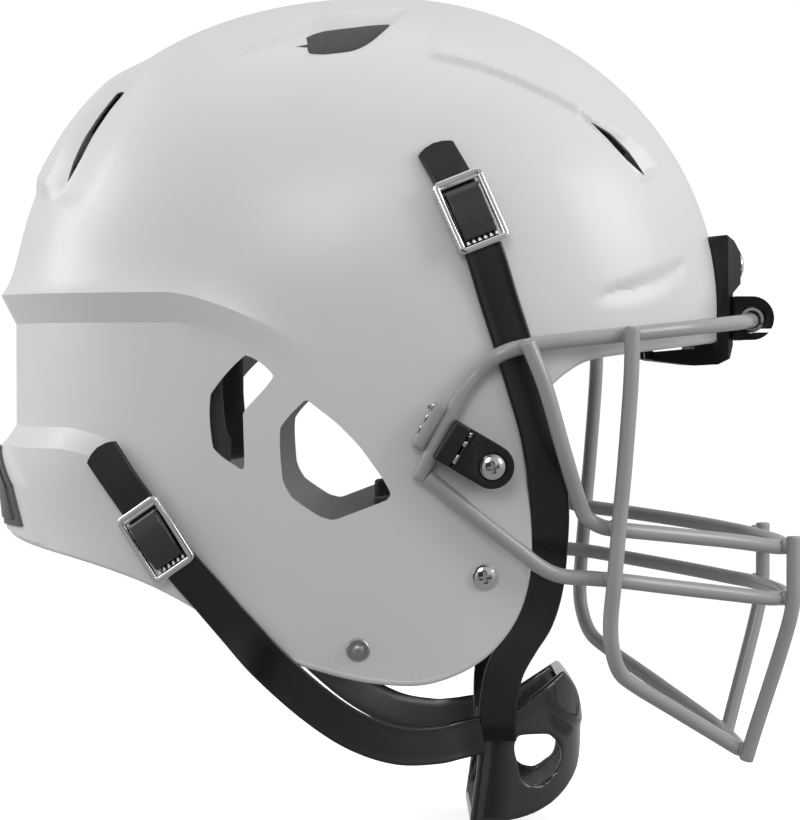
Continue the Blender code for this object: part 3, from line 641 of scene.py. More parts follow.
def bumperFrame(x, y, z):
    # the raised frame round the rear plate
    if x > -100 or z > 12:
        return 0.0
    edge = between(z, [(-31, 58), (-12, 53), (4, 34), (9, 18)])
    return 1.5 * (1 - ease(abs(y), edge - 5, edge + 4)) * (1 - ease(z, 1, 9))


def shellPoint(turn, z, inset=0.0, plain=False, fine=False):
    base, rise = shell["baseZ"], shell["rise"]
    level = z if z <= base else base + (z - base) * (rise - inset) / rise
    angle = math.radians(turn)
    cosine, sine = math.cos(angle), math.sin(angle)
    power = 2 / shell["planRound"]
    length = reachAt(level, cosine > 0, inset)
    x = shell["centreX"] + math.copysign(abs(cosine) ** power, cosine) * length
    y = math.copysign(abs(sine) ** power, sine) * halfWidth(level, inset)
    out = Vector((cosine, sine, 0)) * (0 if plain else relief(x, z))
    if fine:
        high = max(0.0, (z - base) / rise)
        normal = Vector((cosine * math.sqrt(1 - high * high), sine * math.sqrt(1 - high * high), high ** 1.5))
        depth = scoops(x, z)
        if inset:
            # the inside follows the deepest place near by, so that no wall is cut through
            near = [(0, 0), (4, 0), (-4, 0), (0, 4), (0, -4), (3, 3), (-3, -3), (3, -3), (-3, 3)]
            out += normal.normalized() * min(0.0, min(scoops(x + dx, z + dz) for dx, dz in near) + 0.6)
        else:
            out += normal.normalized() * (depth + bumperFrame(x, y, z))
    return Vector((x, y, level)) + out


def sideY(x, z, inset=0.0):
    length = reachAt(z, x > shell["centreX"], inset)
    ratio = min(1, abs(x - shell["centreX"]) / length)
    return halfWidth(z, inset) * (1 - ratio ** shell["planRound"]) ** (1 / shell["planRound"]) + relief(x, z) * 0.6


def sideFrame(x, z, side, tilt=0.0, lift=0.0):
    # a place on the shell's side: X across a strap, Y up along it, Z outwards
    step = 2.0
    here = Vector((x, side * sideY(x, z), z))
    alongX = Vector((step, side * (sideY(x + step, z) - sideY(x, z)), 0))
    alongZ = Vector((0, side * (sideY(x, z + step) - sideY(x, z)), step))
    out = alongX.cross(alongZ).normalized()
    if out.y * side < 0:
        out = -out
    up = Vector((-math.sin(tilt), 0, math.cos(tilt)))
    up = (up - out * up.dot(out)).normalized()
    matrix = Matrix((up.cross(out), up, out)).transposed().to_4x4()
    matrix.translation = here + out * lift
    return matrix


def spread(low, high, count):
    return [low + (high - low) * i / (count - 1) for i in range(count)]


def bowlMesh(name, turns, rowsFor, inset, fine):
    # a closed bowl solid: rows of the surface, a point on top and a flat lid below
    columns = [rowsFor(turn) for turn in turns]
    rows = len(columns[0])
    count = len(turns)
    points = [shellPoint(turns[i], columns[i][row], inset, False, fine) for row in range(rows) for i in range(count)]
    points.append(Vector((shell["centreX"], 0, shell["baseZ"] + shell["rise"] - inset)))
    faces = skinFaces(rows, count, caps=False)
    last = (rows - 1) * count
    faces += [[last + i, last + (i + 1) % count, len(points) - 1] for i in range(count)]
    faces.append(list(range(count))[::-1])
    return meshFrom(name, points, faces, 40, False)


def fineRows(turn):
    # levels that follow the flare's and the ledge's own lines, so that both stay crisp
    x = shellPoint(turn, 55, 0, True).x
    flareTop, ledgeTop = flareLine(min(x, -60)), ledgeLine(min(x, 10))
    rows = spread(shell["skirtZ"], -45, 9) + spread(-45, flareTop - shell["flareDeep"], 22)[1:]
    rows += spread(flareTop - shell["flareDeep"], flareTop, 5)[1:]
    rows += spread(flareTop, ledgeTop - shell["ledgeDeep"], 10)[1:]
    rows += spread(ledgeTop - shell["ledgeDeep"], ledgeTop, 6)[1:]
    start = math.asin((ledgeTop - shell["baseZ"]) / shell["rise"])
    brow = math.asin(30 / shell["rise"])
    climb = spread(start, brow, 36)[1:] + spread(brow, math.radians(89), 128)[1:]
    return rows + [shell["baseZ"] + shell["rise"] * math.sin(a) for a in climb]


def coarseRows(turn):
    rows = spread(shell["skirtZ"] - 4, shell["baseZ"], 44)
    return rows + [shell["baseZ"] + shell["rise"] * math.sin(math.radians(a)) for a in spread(3, 88, 70)]


def shellTurns():
    half = (spread(0, 10, 5)[:-1] + spread(10, 28, 20)[:-1] + spread(28, 62, 50)[:-1] + spread(62, 118, 57)[:-1]
            + spread(118, 150, 47)[:-1] + spread(150, 180, 31))
    return half + [360 - turn for turn in half[-2:0:-1]]


def edgeLoop(inset):
    # the shell's lower edge on the surface, all the way round
    outline = curvePath([(x, z, 0) for x, z in lowerEdge], 2.0)
    heights = sorted((p.x, p.y) for p in outline if p.x < -50 or p.x > 104)

    def edgeAt(turns, x):
        found = []
        for turn in turns:
            spot = x
            for _ in range(6):
                z = between(spot, heights)
                spot = shellPoint(turn, z, inset).x
            found.append(Vector((spot, -abs(shellPoint(turn, z, inset).y), z)))
        return found
    nape = edgeAt(spread(180, 128, 34), -140)
    brow = edgeAt(spread(54, 0, 40), 120)
    right = nape + [Vector((p.x, -sideY(p.x, p.y, inset), p.y)) for p in outline
                    if nape[-1].x + 1.5 < p.x < brow[0].x - 1.5] + brow
    return right + [Vector((p.x, -p.y, p.z)) for p in right[-2:0:-1]]


def tube(name, path, radius, sidesRound=16, closed=False, capRound=True):
    # a round bar along a path, with domed ends
    stations = []
    across = None
    for i, spot in enumerate(path):
        along = (path[(i + 1) % len(path)] - path[i - 1]).normalized() if closed else aimedAlong(path, i)
        if across is None:
            across = Vector((0, 0, 1)) if abs(along.z) < 0.9 else Vector((1, 0, 0))
        across = (across - along * across.dot(along)).normalized()
        stations.append((spot, along, across, radius))
    if capRound and not closed:
        for end, way in ((0, -1), (-1, 1)):
            spot, along, across, _ = stations[end]
            dome = [(spot + along * way * radius * lift, along, across, radius * shrink)
                    for lift, shrink in ((0.12, 0.97), (0.2, 0.9), (0.24, 0.8))]
            stations = dome[::-1] + stations if end == 0 else stations + dome
    points = []
    for spot, along, across, size in stations:
        other = along.cross(across)
        for k in range(sidesRound):
            a = math.tau * k / sidesRound
            points.append(spot + (across * math.cos(a) + other * math.sin(a)) * size)
    return meshFrom(name, points, skinFaces(len(stations), sidesRound, closed), 60)


def buildShell():
    outer = bowlMesh("helmet_shell", shellTurns(), fineRows, 0, True)
    inner = bowlMesh("shellInside", spread(0, 360, 241)[:-1], coarseRows, shell["wall"], True)
    cutWith(outer, inner)
    below = [(-190, 230), *flatCurve(lowerEdge, 3.0), (210, 230)]
    cutWith(outer, prismMesh("outlineCut", below, -150, 150), "INTERSECT")
    for name, points in holes.items():
        for side in sides.values():
            ends = sorted((side * 15, side * 150))
            cutter = prismMesh("cut_" + name, softLoop(points, 1.4), *ends)
            if name == "topVent":
                for v in cutter.data.vertices:      # square to the crown, so that its roof shows
                    v.co.z += abs(v.co.y) - 63 * mm
            cutWith(outer, cutter)
    for side in sides.values():
        for x, z, radius in shell["bores"]:
            bpy.ops.mesh.primitive_cylinder_add(radius=radius * mm, depth=20 * mm, vertices=24)
            bit = bpy.context.active_object
            placeBy(bit, sideFrame(x, z, side))
            cutWith(outer, bit)
    smoothBy(outer, 18)
    wearing(outer, "shell", stands=["shell"])
    bead = tube("shell_edge_roll", edgeLoop(shell["wall"] / 2), shell["wall"] / 2 + 0.12, 12, True)
    wearing(bead, "shell")


buildShell()
print("shell ready")


def overShell(x, z, lift):
    return Vector((x, -sideY(x, z) - lift, z))


def browY(x):
    ratio = (x - shell["centreX"]) / 156.5
    return -119.4 * (1 - ratio ** shell["planRound"]) ** (1 / shell["planRound"])


def bothHalves(half):
    right = [Vector(p) for p in half]
    return right + [Vector((p.x, -p.y, p.z)) for p in reversed(right[:-1])]


def flipSide(points, side):
    return [Vector((p[0], -side * p[1], p[2])) for p in points]


guard = {"radius": 3.1, "overShell": 0.6, "barGap": 0.3, "weld": (3.9, 2.5, 2.0)}
wireRadius = guard["radius"]
routes = {}


def planGuard():
    ride = wireRadius + guard["overShell"]
    beside = 2 * wireRadius + guard["barGap"]
    brow = [overShell(x, z, ride) for x, z in ((33.4, -6.1), (38.5, 4), (44, 14.5), (50.8, 27.8), (57.5, 36.1))]
    brow += [Vector((x, browY(x), z)) for x, z in ((66, 42.6), (78.4, 46), (100, 48.6), (122, 50.8), (143.8, 53))]
    brow += [(162, browY(162), 55), (172.4, browY(172.4), 56.2), (176.5, 0, 57)]
    routes["brow_wire"] = bothHalves(brow)
    topY = browY(76) - beside
    upper = [(76, topY, 46.5), (83, topY + 1.5, 29), (91, topY + 7, 2), (98, -104, -19), (101.6, -102.6, -23.8),
             (107, -100.4, -26.6), (114, -97.5, -27.8), (134, -88, -30.2), (160, -72, -33.6), (176, -60, -36.2),
             (182.6, -51, -37.4), (187, -38, -38.2), (190.4, -20, -38.8), (191.6, 0, -39.4)]
    routes["upper_wire"] = bothHalves(upper)
    lower = [overShell(37.0, -6.3, ride + 0.2), overShell(57.5, -23.2, ride + 1.2), (72, -107.2, -34.6),
             (81.5, -105.4, -42), (90, -103.2, -45.8), (102, -100, -47), (114, -97.5, -48.2), (134, -88, -51.2),
             (160, -72, -55.2), (176, -60, -57.8), (182.6, -51, -58.6), (187, -38, -59.4), (190.4, -20, -60),
             (191.6, 0, -60.4)]
    routes["lower_wire"] = bothHalves(lower)
    outY = -97.5 - beside - 1.4
    topOut = browY(118) - beside - 0.2
    jaw = [(118, topOut, 52.7), (117.4, topOut, 31), (115, topOut, -2), (113.2, outY, -22), (111, outY, -48),
           (109.8, -102, -64), (110.6, -99, -75), (114, -93.5, -85), (121, -86, -91.4), (140, -67.5, -104),
           (160, -47.5, -117.3), (167.6, -36, -122.6), (170.6, -18, -124.8), (171.2, 0, -125.4)]
    routes["jaw_wire"] = bothHalves(jaw)
    bar = [(188.7, -54.6, -33.5), (188.7, -54.6, -48), (188.2, -54.2, -62), (184, -50.6, -80),
           (174.8, -43.6, -112), (170.8, -40.6, -126.5)]
    rod = [overShell(x, z, ride) + Vector((-1.1, 0, 0.5)) for x, z in ((42.9, 21.5), (34, 6.1))]
    for word, side in sides.items():
        routes["front_bar_" + word] = flipSide(bar, side)
        routes["clip_rod_" + word] = flipSide(rod, side)


def buildGuard():
    planGuard()
    paths = {name: curvePath(route, 1.6) for name, route in routes.items()}
    for name, path in paths.items():
        wearing(tube("guard_" + name, path, wireRadius, 20), "guard", stands=[name])
    names = list(paths)
    beads = []
    for i, first in enumerate(names):
        for second in names[i + 1:]:
            for side in sides.values():
                one = [p for p in paths[first] if p.y * side > 2]
                two = [p for p in paths[second] if p.y * side > 2]
                if not one or not two:
                    continue
                gap, a, b = min(((p - q).length, p, q) for p in one[::2] for q in two)
                if gap < 2 * wireRadius + 2.6 and a.x > 60:
                    beads.append(weldBead(f"weld_{len(beads)}", a, b, paths[first], paths[second]))
    wearing(joinInto("guard_welds", beads), "guard")


def weldBead(name, a, b, one, two):
    # fused metal filling the corner between two bars
    def directionAt(path, spot):
        return aimedAlong(path, min(range(len(path)), key=lambda k: (path[k] - spot).length))
    along, other = directionAt(one, a), directionAt(two, b)
    if along.dot(other) < 0:
        other = -other
    gapWay = (b - a).normalized()
    middle = (along + other).normalized()
    middle = (middle - gapWay * middle.dot(gapWay)).normalized()
    deselectAll()
    bpy.ops.mesh.primitive_uv_sphere_add(segments=20, ring_count=12, radius=mm)
    bead = bpy.context.active_object
    bead.name = name
    for v in bead.data.vertices:
        v.co = Vector([c * size for c, size in zip(v.co, guard["weld"])])
        v.co *= 1 + 0.05 * math.sin(v.co.x * 4100) * math.cos(v.co.y * 3700)
    placeBy(bead, frameOf(middle, gapWay.cross(middle), gapWay, (a + b) / 2))
    smoothBy(bead, 60)
    return bead


buildGuard()
print("guard ready")


# fasteners

def turned(name, profile, segments=48):
    # a round part turned about Z from (radius, height) points
    points = [(radius * math.cos(math.tau * k / segments), radius * math.sin(math.tau * k / segments), height)
              for radius, height in profile for k in range(segments)]
    return meshFrom(name, points, skinFaces(len(profile), segments), 35)


def crossCut(item, half, width, low, high):
    for turnedOver in (0, 1):
        a, b = (half, width) if turnedOver else (width, half)
        cutWith(item, boxMesh("cross", -a, a, -b, b, low, high))


def phillipsScrew(name, shankTo):
    # a domed head with a rim, seen from outside; its seat is at z = 0
    profile = [(1.9, shankTo), (1.9, 0), (5.0, 0), (5.2, 0.2), (5.2, 0.75), (5.0, 1.05), (4.6, 1.2), (4.35, 1.18),
               (4.2, 1.25), (3.6, 1.62), (2.7, 1.95), (1.7, 2.14), (0.7, 2.2), (0.05, 2.21)]
    screw = turned(name, profile)
    crossCut(screw, 2.5, 0.78, 0.5, 3)
    bpy.ops.mesh.primitive_cone_add(vertices=16, radius1=0.2 * mm, radius2=1.5 * mm, depth=1.6 * mm,
                                    location=(0, 0, 1.9 * mm))
    cone = bpy.context.active_object
    bakePlace(cone)
    cutWith(screw, cone)
    smoothBy(screw, 30)
    return screw


def snapStud(name):
    profile = [(5.0, 0.3), (5.05, 0.6), (4.7, 1.1), (4.1, 1.3), (3.7, 1.1), (3.3, 1.35), (2.5, 1.75), (1.2, 1.85),
               (0.05, 1.86)]
    return turned(name, profile)


# paintedGlints: places down the side rod for bright chrome bits, a painted highlight standing in for the rod's glints
clip = {"at": (60.6, -1.0), "tilt": -30, "top": 10.5, "half": 8.8, "springs": ((-6.6, -2.6), (1.2, 3.4), (5.4, 7.4)),
        "paintedGlints": (2.2, 7.2, 12.2)}
fasteners = {"jawScrew": (59.5, -46.2), "stud": (9.2, -75.5), "frontScrew": (170, 15, 80), "wellDepth": 0.9}


def frontScrewFrame(side):
    x, y, z = fasteners["frontScrew"]
    return frameOf(Vector((0, 1, 0)), Vector((0, 0, 1)), Vector((1, 0, 0)), Vector((x, side * y, z)))


def buildFasteners():
    screw = phillipsScrew("screwMaster", -7.4)
    seat = clip["top"] - fasteners["wellDepth"]
    for word, side in sides.items():
        places = {f"side_clip_{word}_screw": (sideFrame(*clip["at"], side, lift=seat), 0.4 + side * 0.2),
                  f"jaw_{word}_screw": (sideFrame(*fasteners["jawScrew"], side, lift=0.3), 0.15),
                  f"front_screw_{word}": (frontScrewFrame(side), 0.5)}
        for node, (place, spin) in places.items():
            one = copyOf(screw, "bolt_" + node)
            placeBy(one, place @ Matrix.Rotation(spin, 4, "Z"))
            wearing(one, "chrome", stands=[node])
        stud = turned("stud_" + word, [(4.7, 0.1), (4.75, 0.7), (4.2, 1.2), (2.4, 1.4), (2.15, 1.9), (2.3, 2.8),
                                       (2.2, 3.3), (1.6, 3.65), (0.1, 3.8)])
        placeBy(stud, sideFrame(*fasteners["stud"], side))
        wearing(stud, "zinc", stands=["lower_stud_" + word])
    bpy.data.objects.remove(screw, do_unlink=True)


buildFasteners()
print("fasteners ready")


# side clips

def stadiumOutline(length, radius, steps=24):
    arc = [(radius * math.cos(a), radius * math.sin(a)) for a in
           (math.radians(-90 + 180 * i / steps) for i in range(steps + 1))]
    return arc + [(-length, radius), (-length, -radius)]


def buildSideClip(word, side):
    turnBack = Matrix.Rotation(-side * math.radians(clip["tilt"]), 4, "Z")
    place = sideFrame(*clip["at"], side) @ turnBack @ Matrix.Diagonal((-side, 1, 1, 1))
    top, half = clip["top"], clip["half"]
    body = prismMesh("clipBody", stadiumOutline(14.2, half), 0.8, top, "z")
    cutWith(body, turned("well", [(5.75, top - 0.9), (5.75, top + 3)]))
    cutWith(body, boxMesh("groove", -13.2, -12.2, -9, 9, top - 0.9, top + 2))
    cutWith(body, turned("bolt", [(2.4, -4), (2.4, top + 3)]))
    roundEdges(body, 0.7, 3, 40)
    block = boxMesh("clipBlock", -22, -14.6, -half, half, 0.8, top - 0.4)
    roundEdges(block, 1.1, 4, 40)
    rim = prismMesh("clipPlate", stadiumOutline(10.6, 7.0), top - 0.6, top + 0.5, "z")
    cutWith(rim, turned("well", [(5.75, top - 2), (5.75, top + 3)]))
    roundEdges(rim, 0.3, 2, 40)
    steel = []
    for low, high in clip["springs"]:
        pin = boxMesh("spring", -14.9, -13.7, low, high, top - 1.4, top + 0.25)
        roundEdges(pin, 0.25, 2, 40)
        steel.append(pin)
    black = joinInto("clip_" + word, [body, block, rim])
    bright = joinInto("clip_springs_" + word, steel)
    # the channel over the brow wire
    lead, tail = overShell(44, 14.5, 3.7), overShell(33.4, -6.1, 3.7)
    along = (tail - lead).normalized()
    channel = flipSide([lead - along * 14, tail + along * 8], side)
    for item in (black, bright):
        placeBy(item, place)
    cutWith(black, tube("channel", channel, 3.5, 24, capRound=False))
    smoothBy(black, 24)
    wearing(black, "clip", stands=["side_clip_" + word])
    wearing(bright, "chrome")
    upperEnd, lowerEnd = (Vector(p) for p in routes["clip_rod_" + word])
    down = (lowerEnd - upperEnd).normalized()
    out = place.col[2].to_3d()
    rear = out.cross(down).normalized()
    if rear.x > 0:
        rear = -rear
    # bright chrome bits on the rod's outer rear edge: painted highlights that stand in for glints on the grey rod
    paintedGlints = []
    for start in clip["paintedGlints"]:
        dash = boxMesh("dash", -1.7, 1.7, -0.55, 0.55, -0.5, 0.5)
        roundEdges(dash, 0.3, 2, 40)
        placeBy(dash, frameOf(down, rear, out, upperEnd + down * start + rear * 2.75 + out * 1.35))
        paintedGlints.append(dash)
    wearing(joinInto("clip_rod_dashes_" + word, paintedGlints), "chrome")


for word, side in sides.items():
    buildSideClip(word, side)
print("side clips ready")


# front bumper with its two hooks, rear bumper

def surfaceGrid(name, turns, levels, insets):
    # a plate that follows the shell between two insets
    columns, rows = len(turns), len(levels)
    points = [shellPoint(turn, z, inset) for inset in insets for z in levels for turn in turns]

    def at(layer, row, column):
        return layer * rows * columns + row * columns + column
    faces = []
    for layer in (0, 1):
        for row in range(rows - 1):
            for column in range(columns - 1):
                faces.append([at(layer, row, column), at(layer, row, column + 1), at(layer, row + 1, column + 1),
                              at(layer, row + 1, column)])
    for row, flip in ((0, 1), (rows - 1, 0)):
        for column in range(columns - 1):
            faces.append([at(0, row, column), at(0, row, column + 1), at(1, row, column + 1), at(1, row, column)])
    for column in (0, columns - 1):
        for row in range(rows - 1):
            faces.append([at(0, row, column), at(0, row + 1, column), at(1, row + 1, column), at(1, row, column)])
    return meshFrom(name, points, faces, 40)


frontBumper = {
    "profile": [(150, 91), (163.5, 92.5), (167, 90), (170, 85), (170, 72), (166.4, 68), (166.4, 46), (165, 40.5),
                (160, 38), (150, 37.5), (133, 39.5), (133, 43), (150, 44.5)],
    "half": 29, "plan": [(100, -40), (160, -33.2), (172, -21.2), (172, 21.2), (160, 33.2), (100, 40)],
    "plate": [(168, 73.5), (171, 73.5), (171, 84.5), (168, 84.5)], "plateHalf": 8.5,
    "rib": [(163, 69.5), (168.6, 71.3), (168.6, 88), (163, 90.5)], "ribY": 27.4,
    "tang": [(129.5, 40.2), (133.5, 39.7), (133.5, 43), (130.6, 45.8), (129.2, 44.6)], "tangY": (-22, 0, 22)}


def buildFrontBumper():
    bumper = prismMesh("front_bumper_block", frontBumper["profile"], -frontBumper["half"], frontBumper["half"])
    core = bowlMesh("core", spread(-70, 70, 57) + [90, 180, 270], coarseRows, -0.5, False)
    low = [(x, z - 0.6) for x, z in flatCurve([spot for spot in lowerEdge if spot[0] > 60], 3.0)]
    cutWith(core, prismMesh("coreEdge", [(low[0][0], 230), *low, (210, 230)], -150, 150), "INTERSECT", 0.02)
    wide = frontBumper["plateHalf"]
    cutWith(bumper, prismMesh("plate", frontBumper["plate"], -wide, wide), "UNION")
    for side in sides.values():
        for radius, depth in ((2.4, -30), (6.2, -0.35)):    # the screw's bore and the seat of its head
            bore = turned("bore", [(radius, depth), (radius, 3)])
            placeBy(bore, frontScrewFrame(side))
            cutWith(bumper, bore)
        y = side * frontBumper["ribY"]
        cutWith(bumper, prismMesh("rib", frontBumper["rib"], y - 0.6, y + 0.6), "UNION")
    cutWith(bumper, prismMesh("bumperPlan", frontBumper["plan"], 20, 120, "z"), "INTERSECT", 0.02)
    cutWith(bumper, core)
    roundEdges(bumper, 0.75, 3, 32)
    wearing(bumper, "clip", stands=["front_bumper"])
    tangs = []
    for y in frontBumper["tangY"]:
        tang = prismMesh("tang", frontBumper["tang"], y - 3.5, y + 3.5)
        roundEdges(tang, 0.5, 2, 32)
        tangs.append(tang)
    wearing(joinInto("front_bumper_tangs", tangs), "clip")


hook = {"at": (174.3, 57.5), "radius": 9.2, "y": 22, "half": 7, "bore": 5.75}


def buildHook(word, side):
    (cx, cz), radius, y = hook["at"], hook["radius"], side * hook["y"]
    outline = [(167.2, cz - radius), (167.2, cz + radius)]
    outline += [(cx + radius * math.cos(a), cz + radius * math.sin(a)) for a in
                (math.radians(90 - 180 * i / 32) for i in range(33))]
    low, high = y - hook["half"], y + hook["half"]
    block = prismMesh("hook_" + word, outline, low, high)
    bore = turned("bore", [(hook["bore"], -10), (hook["bore"], 10)])
    matrix = Matrix.Rotation(math.radians(90), 4, "X")
    matrix.translation = Vector((cx, y, cz - 0.6))
    placeBy(bore, matrix)
    cutWith(block, bore)
    mouth = [(cx + 1, cz - 4.4), (cx + 20, cz - 4.4), (cx + 20, cz - 6.0), (cx + 1, cz - 6.0)]
    cutWith(block, prismMesh("mouth", mouth, low - 5, high + 5))
    roundEdges(block, 0.6, 3, 40)
    wearing(block, "clip", stands=["front_clip_" + word])
    sleeve = []
    for radius, width in ((5.55, 6.6), (5.0, 7.6)):
        turns = [math.radians(d) for d in range(-18, 325, 9)]
        ring = tube("sleeve", [Vector((cx + (radius - 0.8) * math.cos(a), y, cz - 0.6 + (radius - 0.8) * math.sin(a)))
                               for a in turns], 0.75, 10)
        for v in ring.data.vertices:
            v.co.y = y * mm + (v.co.y - y * mm) * width / 0.75
        sleeve.append(ring)
    wearing(joinInto("hook_sleeve_" + word, sleeve), "sleeve")


rearPlate = {"outline": [(-50, -30), (50, -30), (45, -12), (26, 3.6), (-26, 3.6), (-45, -12)],
             "inlay": [(-44, -26.4), (44, -26.4), (39.5, -12.5), (23, -0.6), (-23, -0.6), (-39.5, -12.5)],
             "turns": (149, 211), "levels": (-29, 4.6)}


def buildRearBumper():
    for name, outline, insets, finish, edge, stands in (
            ("rear_plate", "outline", (-2.6, -0.5), "plate", (0.6, 3), ["rear_bumper"]),
            ("rear_inlay", "inlay", (-3.3, -2.4), "clip", (0.35, 2), [])):
        plate = surfaceGrid(name, spread(*rearPlate["turns"], 63), spread(*rearPlate["levels"], 22), insets)
        cutWith(plate, prismMesh(name + "Cut", rearPlate[outline], -170, -100, "x"), "INTERSECT", 0.05)
        roundEdges(plate, *edge, 40)
        wearing(plate, finish, stands=stands)


buildFrontBumper()
for word, side in sides.items():
    buildHook(word, side)
buildRearBumper()
print("bumpers ready")


# straps: a rounded band swept along each route, with its UVs in millimetres

def bandMesh(name, path, normals, width, thick):
    half, high = width / 2, thick / 2
    edge = [(0.15, 0.55), (0.55, 0.98), (1.3, 1.04), (2.0, 0.86)]      # a rolled edge with a groove beside it
    top = [(-half + a, high * b) for a, b in edge] + [(-half * 0.5, high * 0.97), (0, high)]
    top += [(-a, b) for a, b in top[-2::-1]]
    section = [(-half + 0.15, -high * 0.4), (-half, 0), *top, (half, 0), (half - 0.15, -high * 0.4),
               (half - 0.55, -high * 0.9), (half * 0.5, -high), (0, -high), (-half * 0.5, -high),
               (-half + 0.55, -high * 0.9)]
    around = [0.0]
    for (a0, b0), (a1, b1) in zip(section, section[1:] + section[:1]):
        around.append(around[-1] + math.dist((a0, b0), (a1, b1)))
    count = len(section)
    points, runs = [], [0.0]
    for i, (spot, out) in enumerate(zip(path, normals)):
        along = aimedAlong(path, i)
        out = (out - along * out.dot(along)).normalized()
        across = along.cross(out)
        tip = 2.6 * (1 - i / 3) if i < 3 else 0      # the free end is a shallow arc
        points += [spot + across * a + out * b - along * tip * (1 - (a / half) ** 2) for a, b in section]
        if i:
            runs.append(runs[-1] + (path[i] - path[i - 1]).length)
    layout = [[(around[k], low), (around[k + 1], low), (around[k + 1], high), (around[k], high)]
              for low, high in zip(runs, runs[1:]) for k in range(count)] + [section[::-1], section]
    item = meshFrom(name, points, skinFaces(len(path), count), 50, False)
    chart = item.data.uv_layers.new(name="strapUv")
    for face, corners in zip(item.data.polygons, layout):
        for loop, corner in zip(face.loop_indices, corners):
            chart.data[loop].uv = corner
    cleanMesh(item)
    return item


def stitchRow(path, normals, low, high, offset, lift):
    # places for thread along a strap, from one length of its route to another
    stitches = []
    run = last = 0.0
    for i in range(1, len(path) - 1):
        run += (path[i] - path[i - 1]).length
        if run < low or run > high or run - last < 2.6:
            continue
        last = run
        along = aimedAlong(path, i)
        out = (normals[i] - along * normals[i].dot(along)).normalized()
        across = along.cross(out)
        stitches.append(frameOf(along, across, out, path[i] + across * offset + out * lift))
    return stitches


def threadMesh(name, places):
    points, faces = [], []
    rings = [(-0.95, 0.05), (-0.75, 0.24), (0, 0.3), (0.75, 0.24), (0.95, 0.05)]
    for place in places:
        faces += skinFaces(len(rings), 8, base=len(points))
        points += [place @ Vector((along, radius * math.cos(a), radius * math.sin(a) * 0.8))
                   for along, radius in rings for a in (math.tau * k / 8 for k in range(8))]
    return meshFrom(name, points, faces, 60)


strap = {"width": 15.9, "thick": 1.7, "gap": 0.3, "buckleFloor": 1.5, "stitchOut": 6.9,
         "stitched": {"upper": 38, "lower": 20}}
hugOn = strap["gap"] + 0.2 + strap["thick"] / 2                               # a strap's middle, lying on the shell
rideOn = strap["gap"] * 2 + strap["buckleFloor"] + strap["thick"] / 2         # and over a buckle's snap
strapRoutes = {
    "upper": {"on": [(40, 123, hugOn), (46.5, 110.5, rideOn), (52.9, 97.5, rideOn), (59, 81, rideOn),
                     (64.5, 64, hugOn), (70, 47, hugOn), (75.2, 30, hugOn), (80.2, 13, hugOn)],
              "free": [((84, -103.2, -4), (0.1, 1, 0)), ((85.6, -99, -20), (0.1, 1, 0.05)),
                       ((85.4, -92.6, -36), (0.15, 1, -0.1)), ((84, -85.5, -52), (0.1, 1, -0.25)),
                       ((80.4, -76.5, -66), (0, 1, -0.5)), ((74.6, -65.5, -77), (-0.1, 1, -0.6)),
                       ((69.6, -54.5, -88), (-0.1, 1, -0.5)), ((67.4, -46.5, -100), (0, 1, -0.3)),
                       ((67, -41.6, -110), (0, 1, -0.1)), ((67, -40.4, -119), (0, 1, 0))],
              "start": (0.078, 0, 0.046), "end": (0.067, 0, -0.112)},
    "lower": {"on": [(-92, 2.5, rideOn + 1), (-84, -9, rideOn + 0.6), (-76, -20.5, rideOn), (-69, -31, rideOn),
                     (-60.2, -42, rideOn), (-50.4, -54, hugOn), (-40, -66, hugOn)],
              "free": [((-26, -98.6, -81.6), (0, 1, 0)), ((-8.4, -92, -98), (0.1, 1, 0)),
                       ((8, -81, -110.2), (0.2, 1, 0)), ((25, -67.5, -117.6), (0.3, 1, 0)),
                       ((41, -54, -119.2), (0.3, 1, 0)), ((51, -46, -118), (0.2, 1, 0)),
                       ((60.4, -42.35, -116.2), (0.05, 1, 0))],
              "start": (-0.040, 0, -0.067), "end": (0.057, 0, -0.116)}}


def buildStrap(level, word, side):
    route = strapRoutes[level]
    spots = []
    for x, z, lift in route["on"]:
        place = sideFrame(x, z, side, lift=lift)
        spots.append((place.translation.copy(), place.col[2].to_3d()))
    spots += [(Vector((x, -side * y, z)), Vector((nx, side * ny, nz))) for (x, y, z), (nx, ny, nz) in route["free"]]
    path, normals = curveWith([spot for spot, _ in spots], [out for _, out in spots], 1.5)
    band = bandMesh(f"strap_{level}_{word}", path, normals, strap["width"], strap["thick"])
    wearing(band, "strap", None, [f"{level}_strap_{word}"])
    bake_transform(band)
    total = sum((b - a).length for a, b in zip(path, path[1:]))
    rows = []
    for offset in (-strap["stitchOut"], strap["stitchOut"]):
        rows += stitchRow(path, normals, total - strap["stitched"][level], total - 4, offset, 0.62)
    thread = threadMesh(f"stitches_{level}_{word}", rows)
    wearing(thread, "thread", None)
    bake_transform(thread)


for level in strapRoutes:
    for word, side in sides.items():
        buildStrap(level, word, side)
print("straps ready")


# buckles

def roundedPath(wide, tall, radius, steps=6):
    path = []
    for cx, cy, start in ((wide, tall, 0), (-wide, tall, 90), (-wide, -tall, 180), (wide, -tall, 270)):
        ox, oy = math.copysign(abs(cx) - radius, cx), math.copysign(abs(cy) - radius, cy)
        path += [(ox + radius * math.cos(math.radians(start + 90 * i / steps)),
                  oy + radius * math.sin(math.radians(start + 90 * i / steps))) for i in range(steps + 1)]
    return path


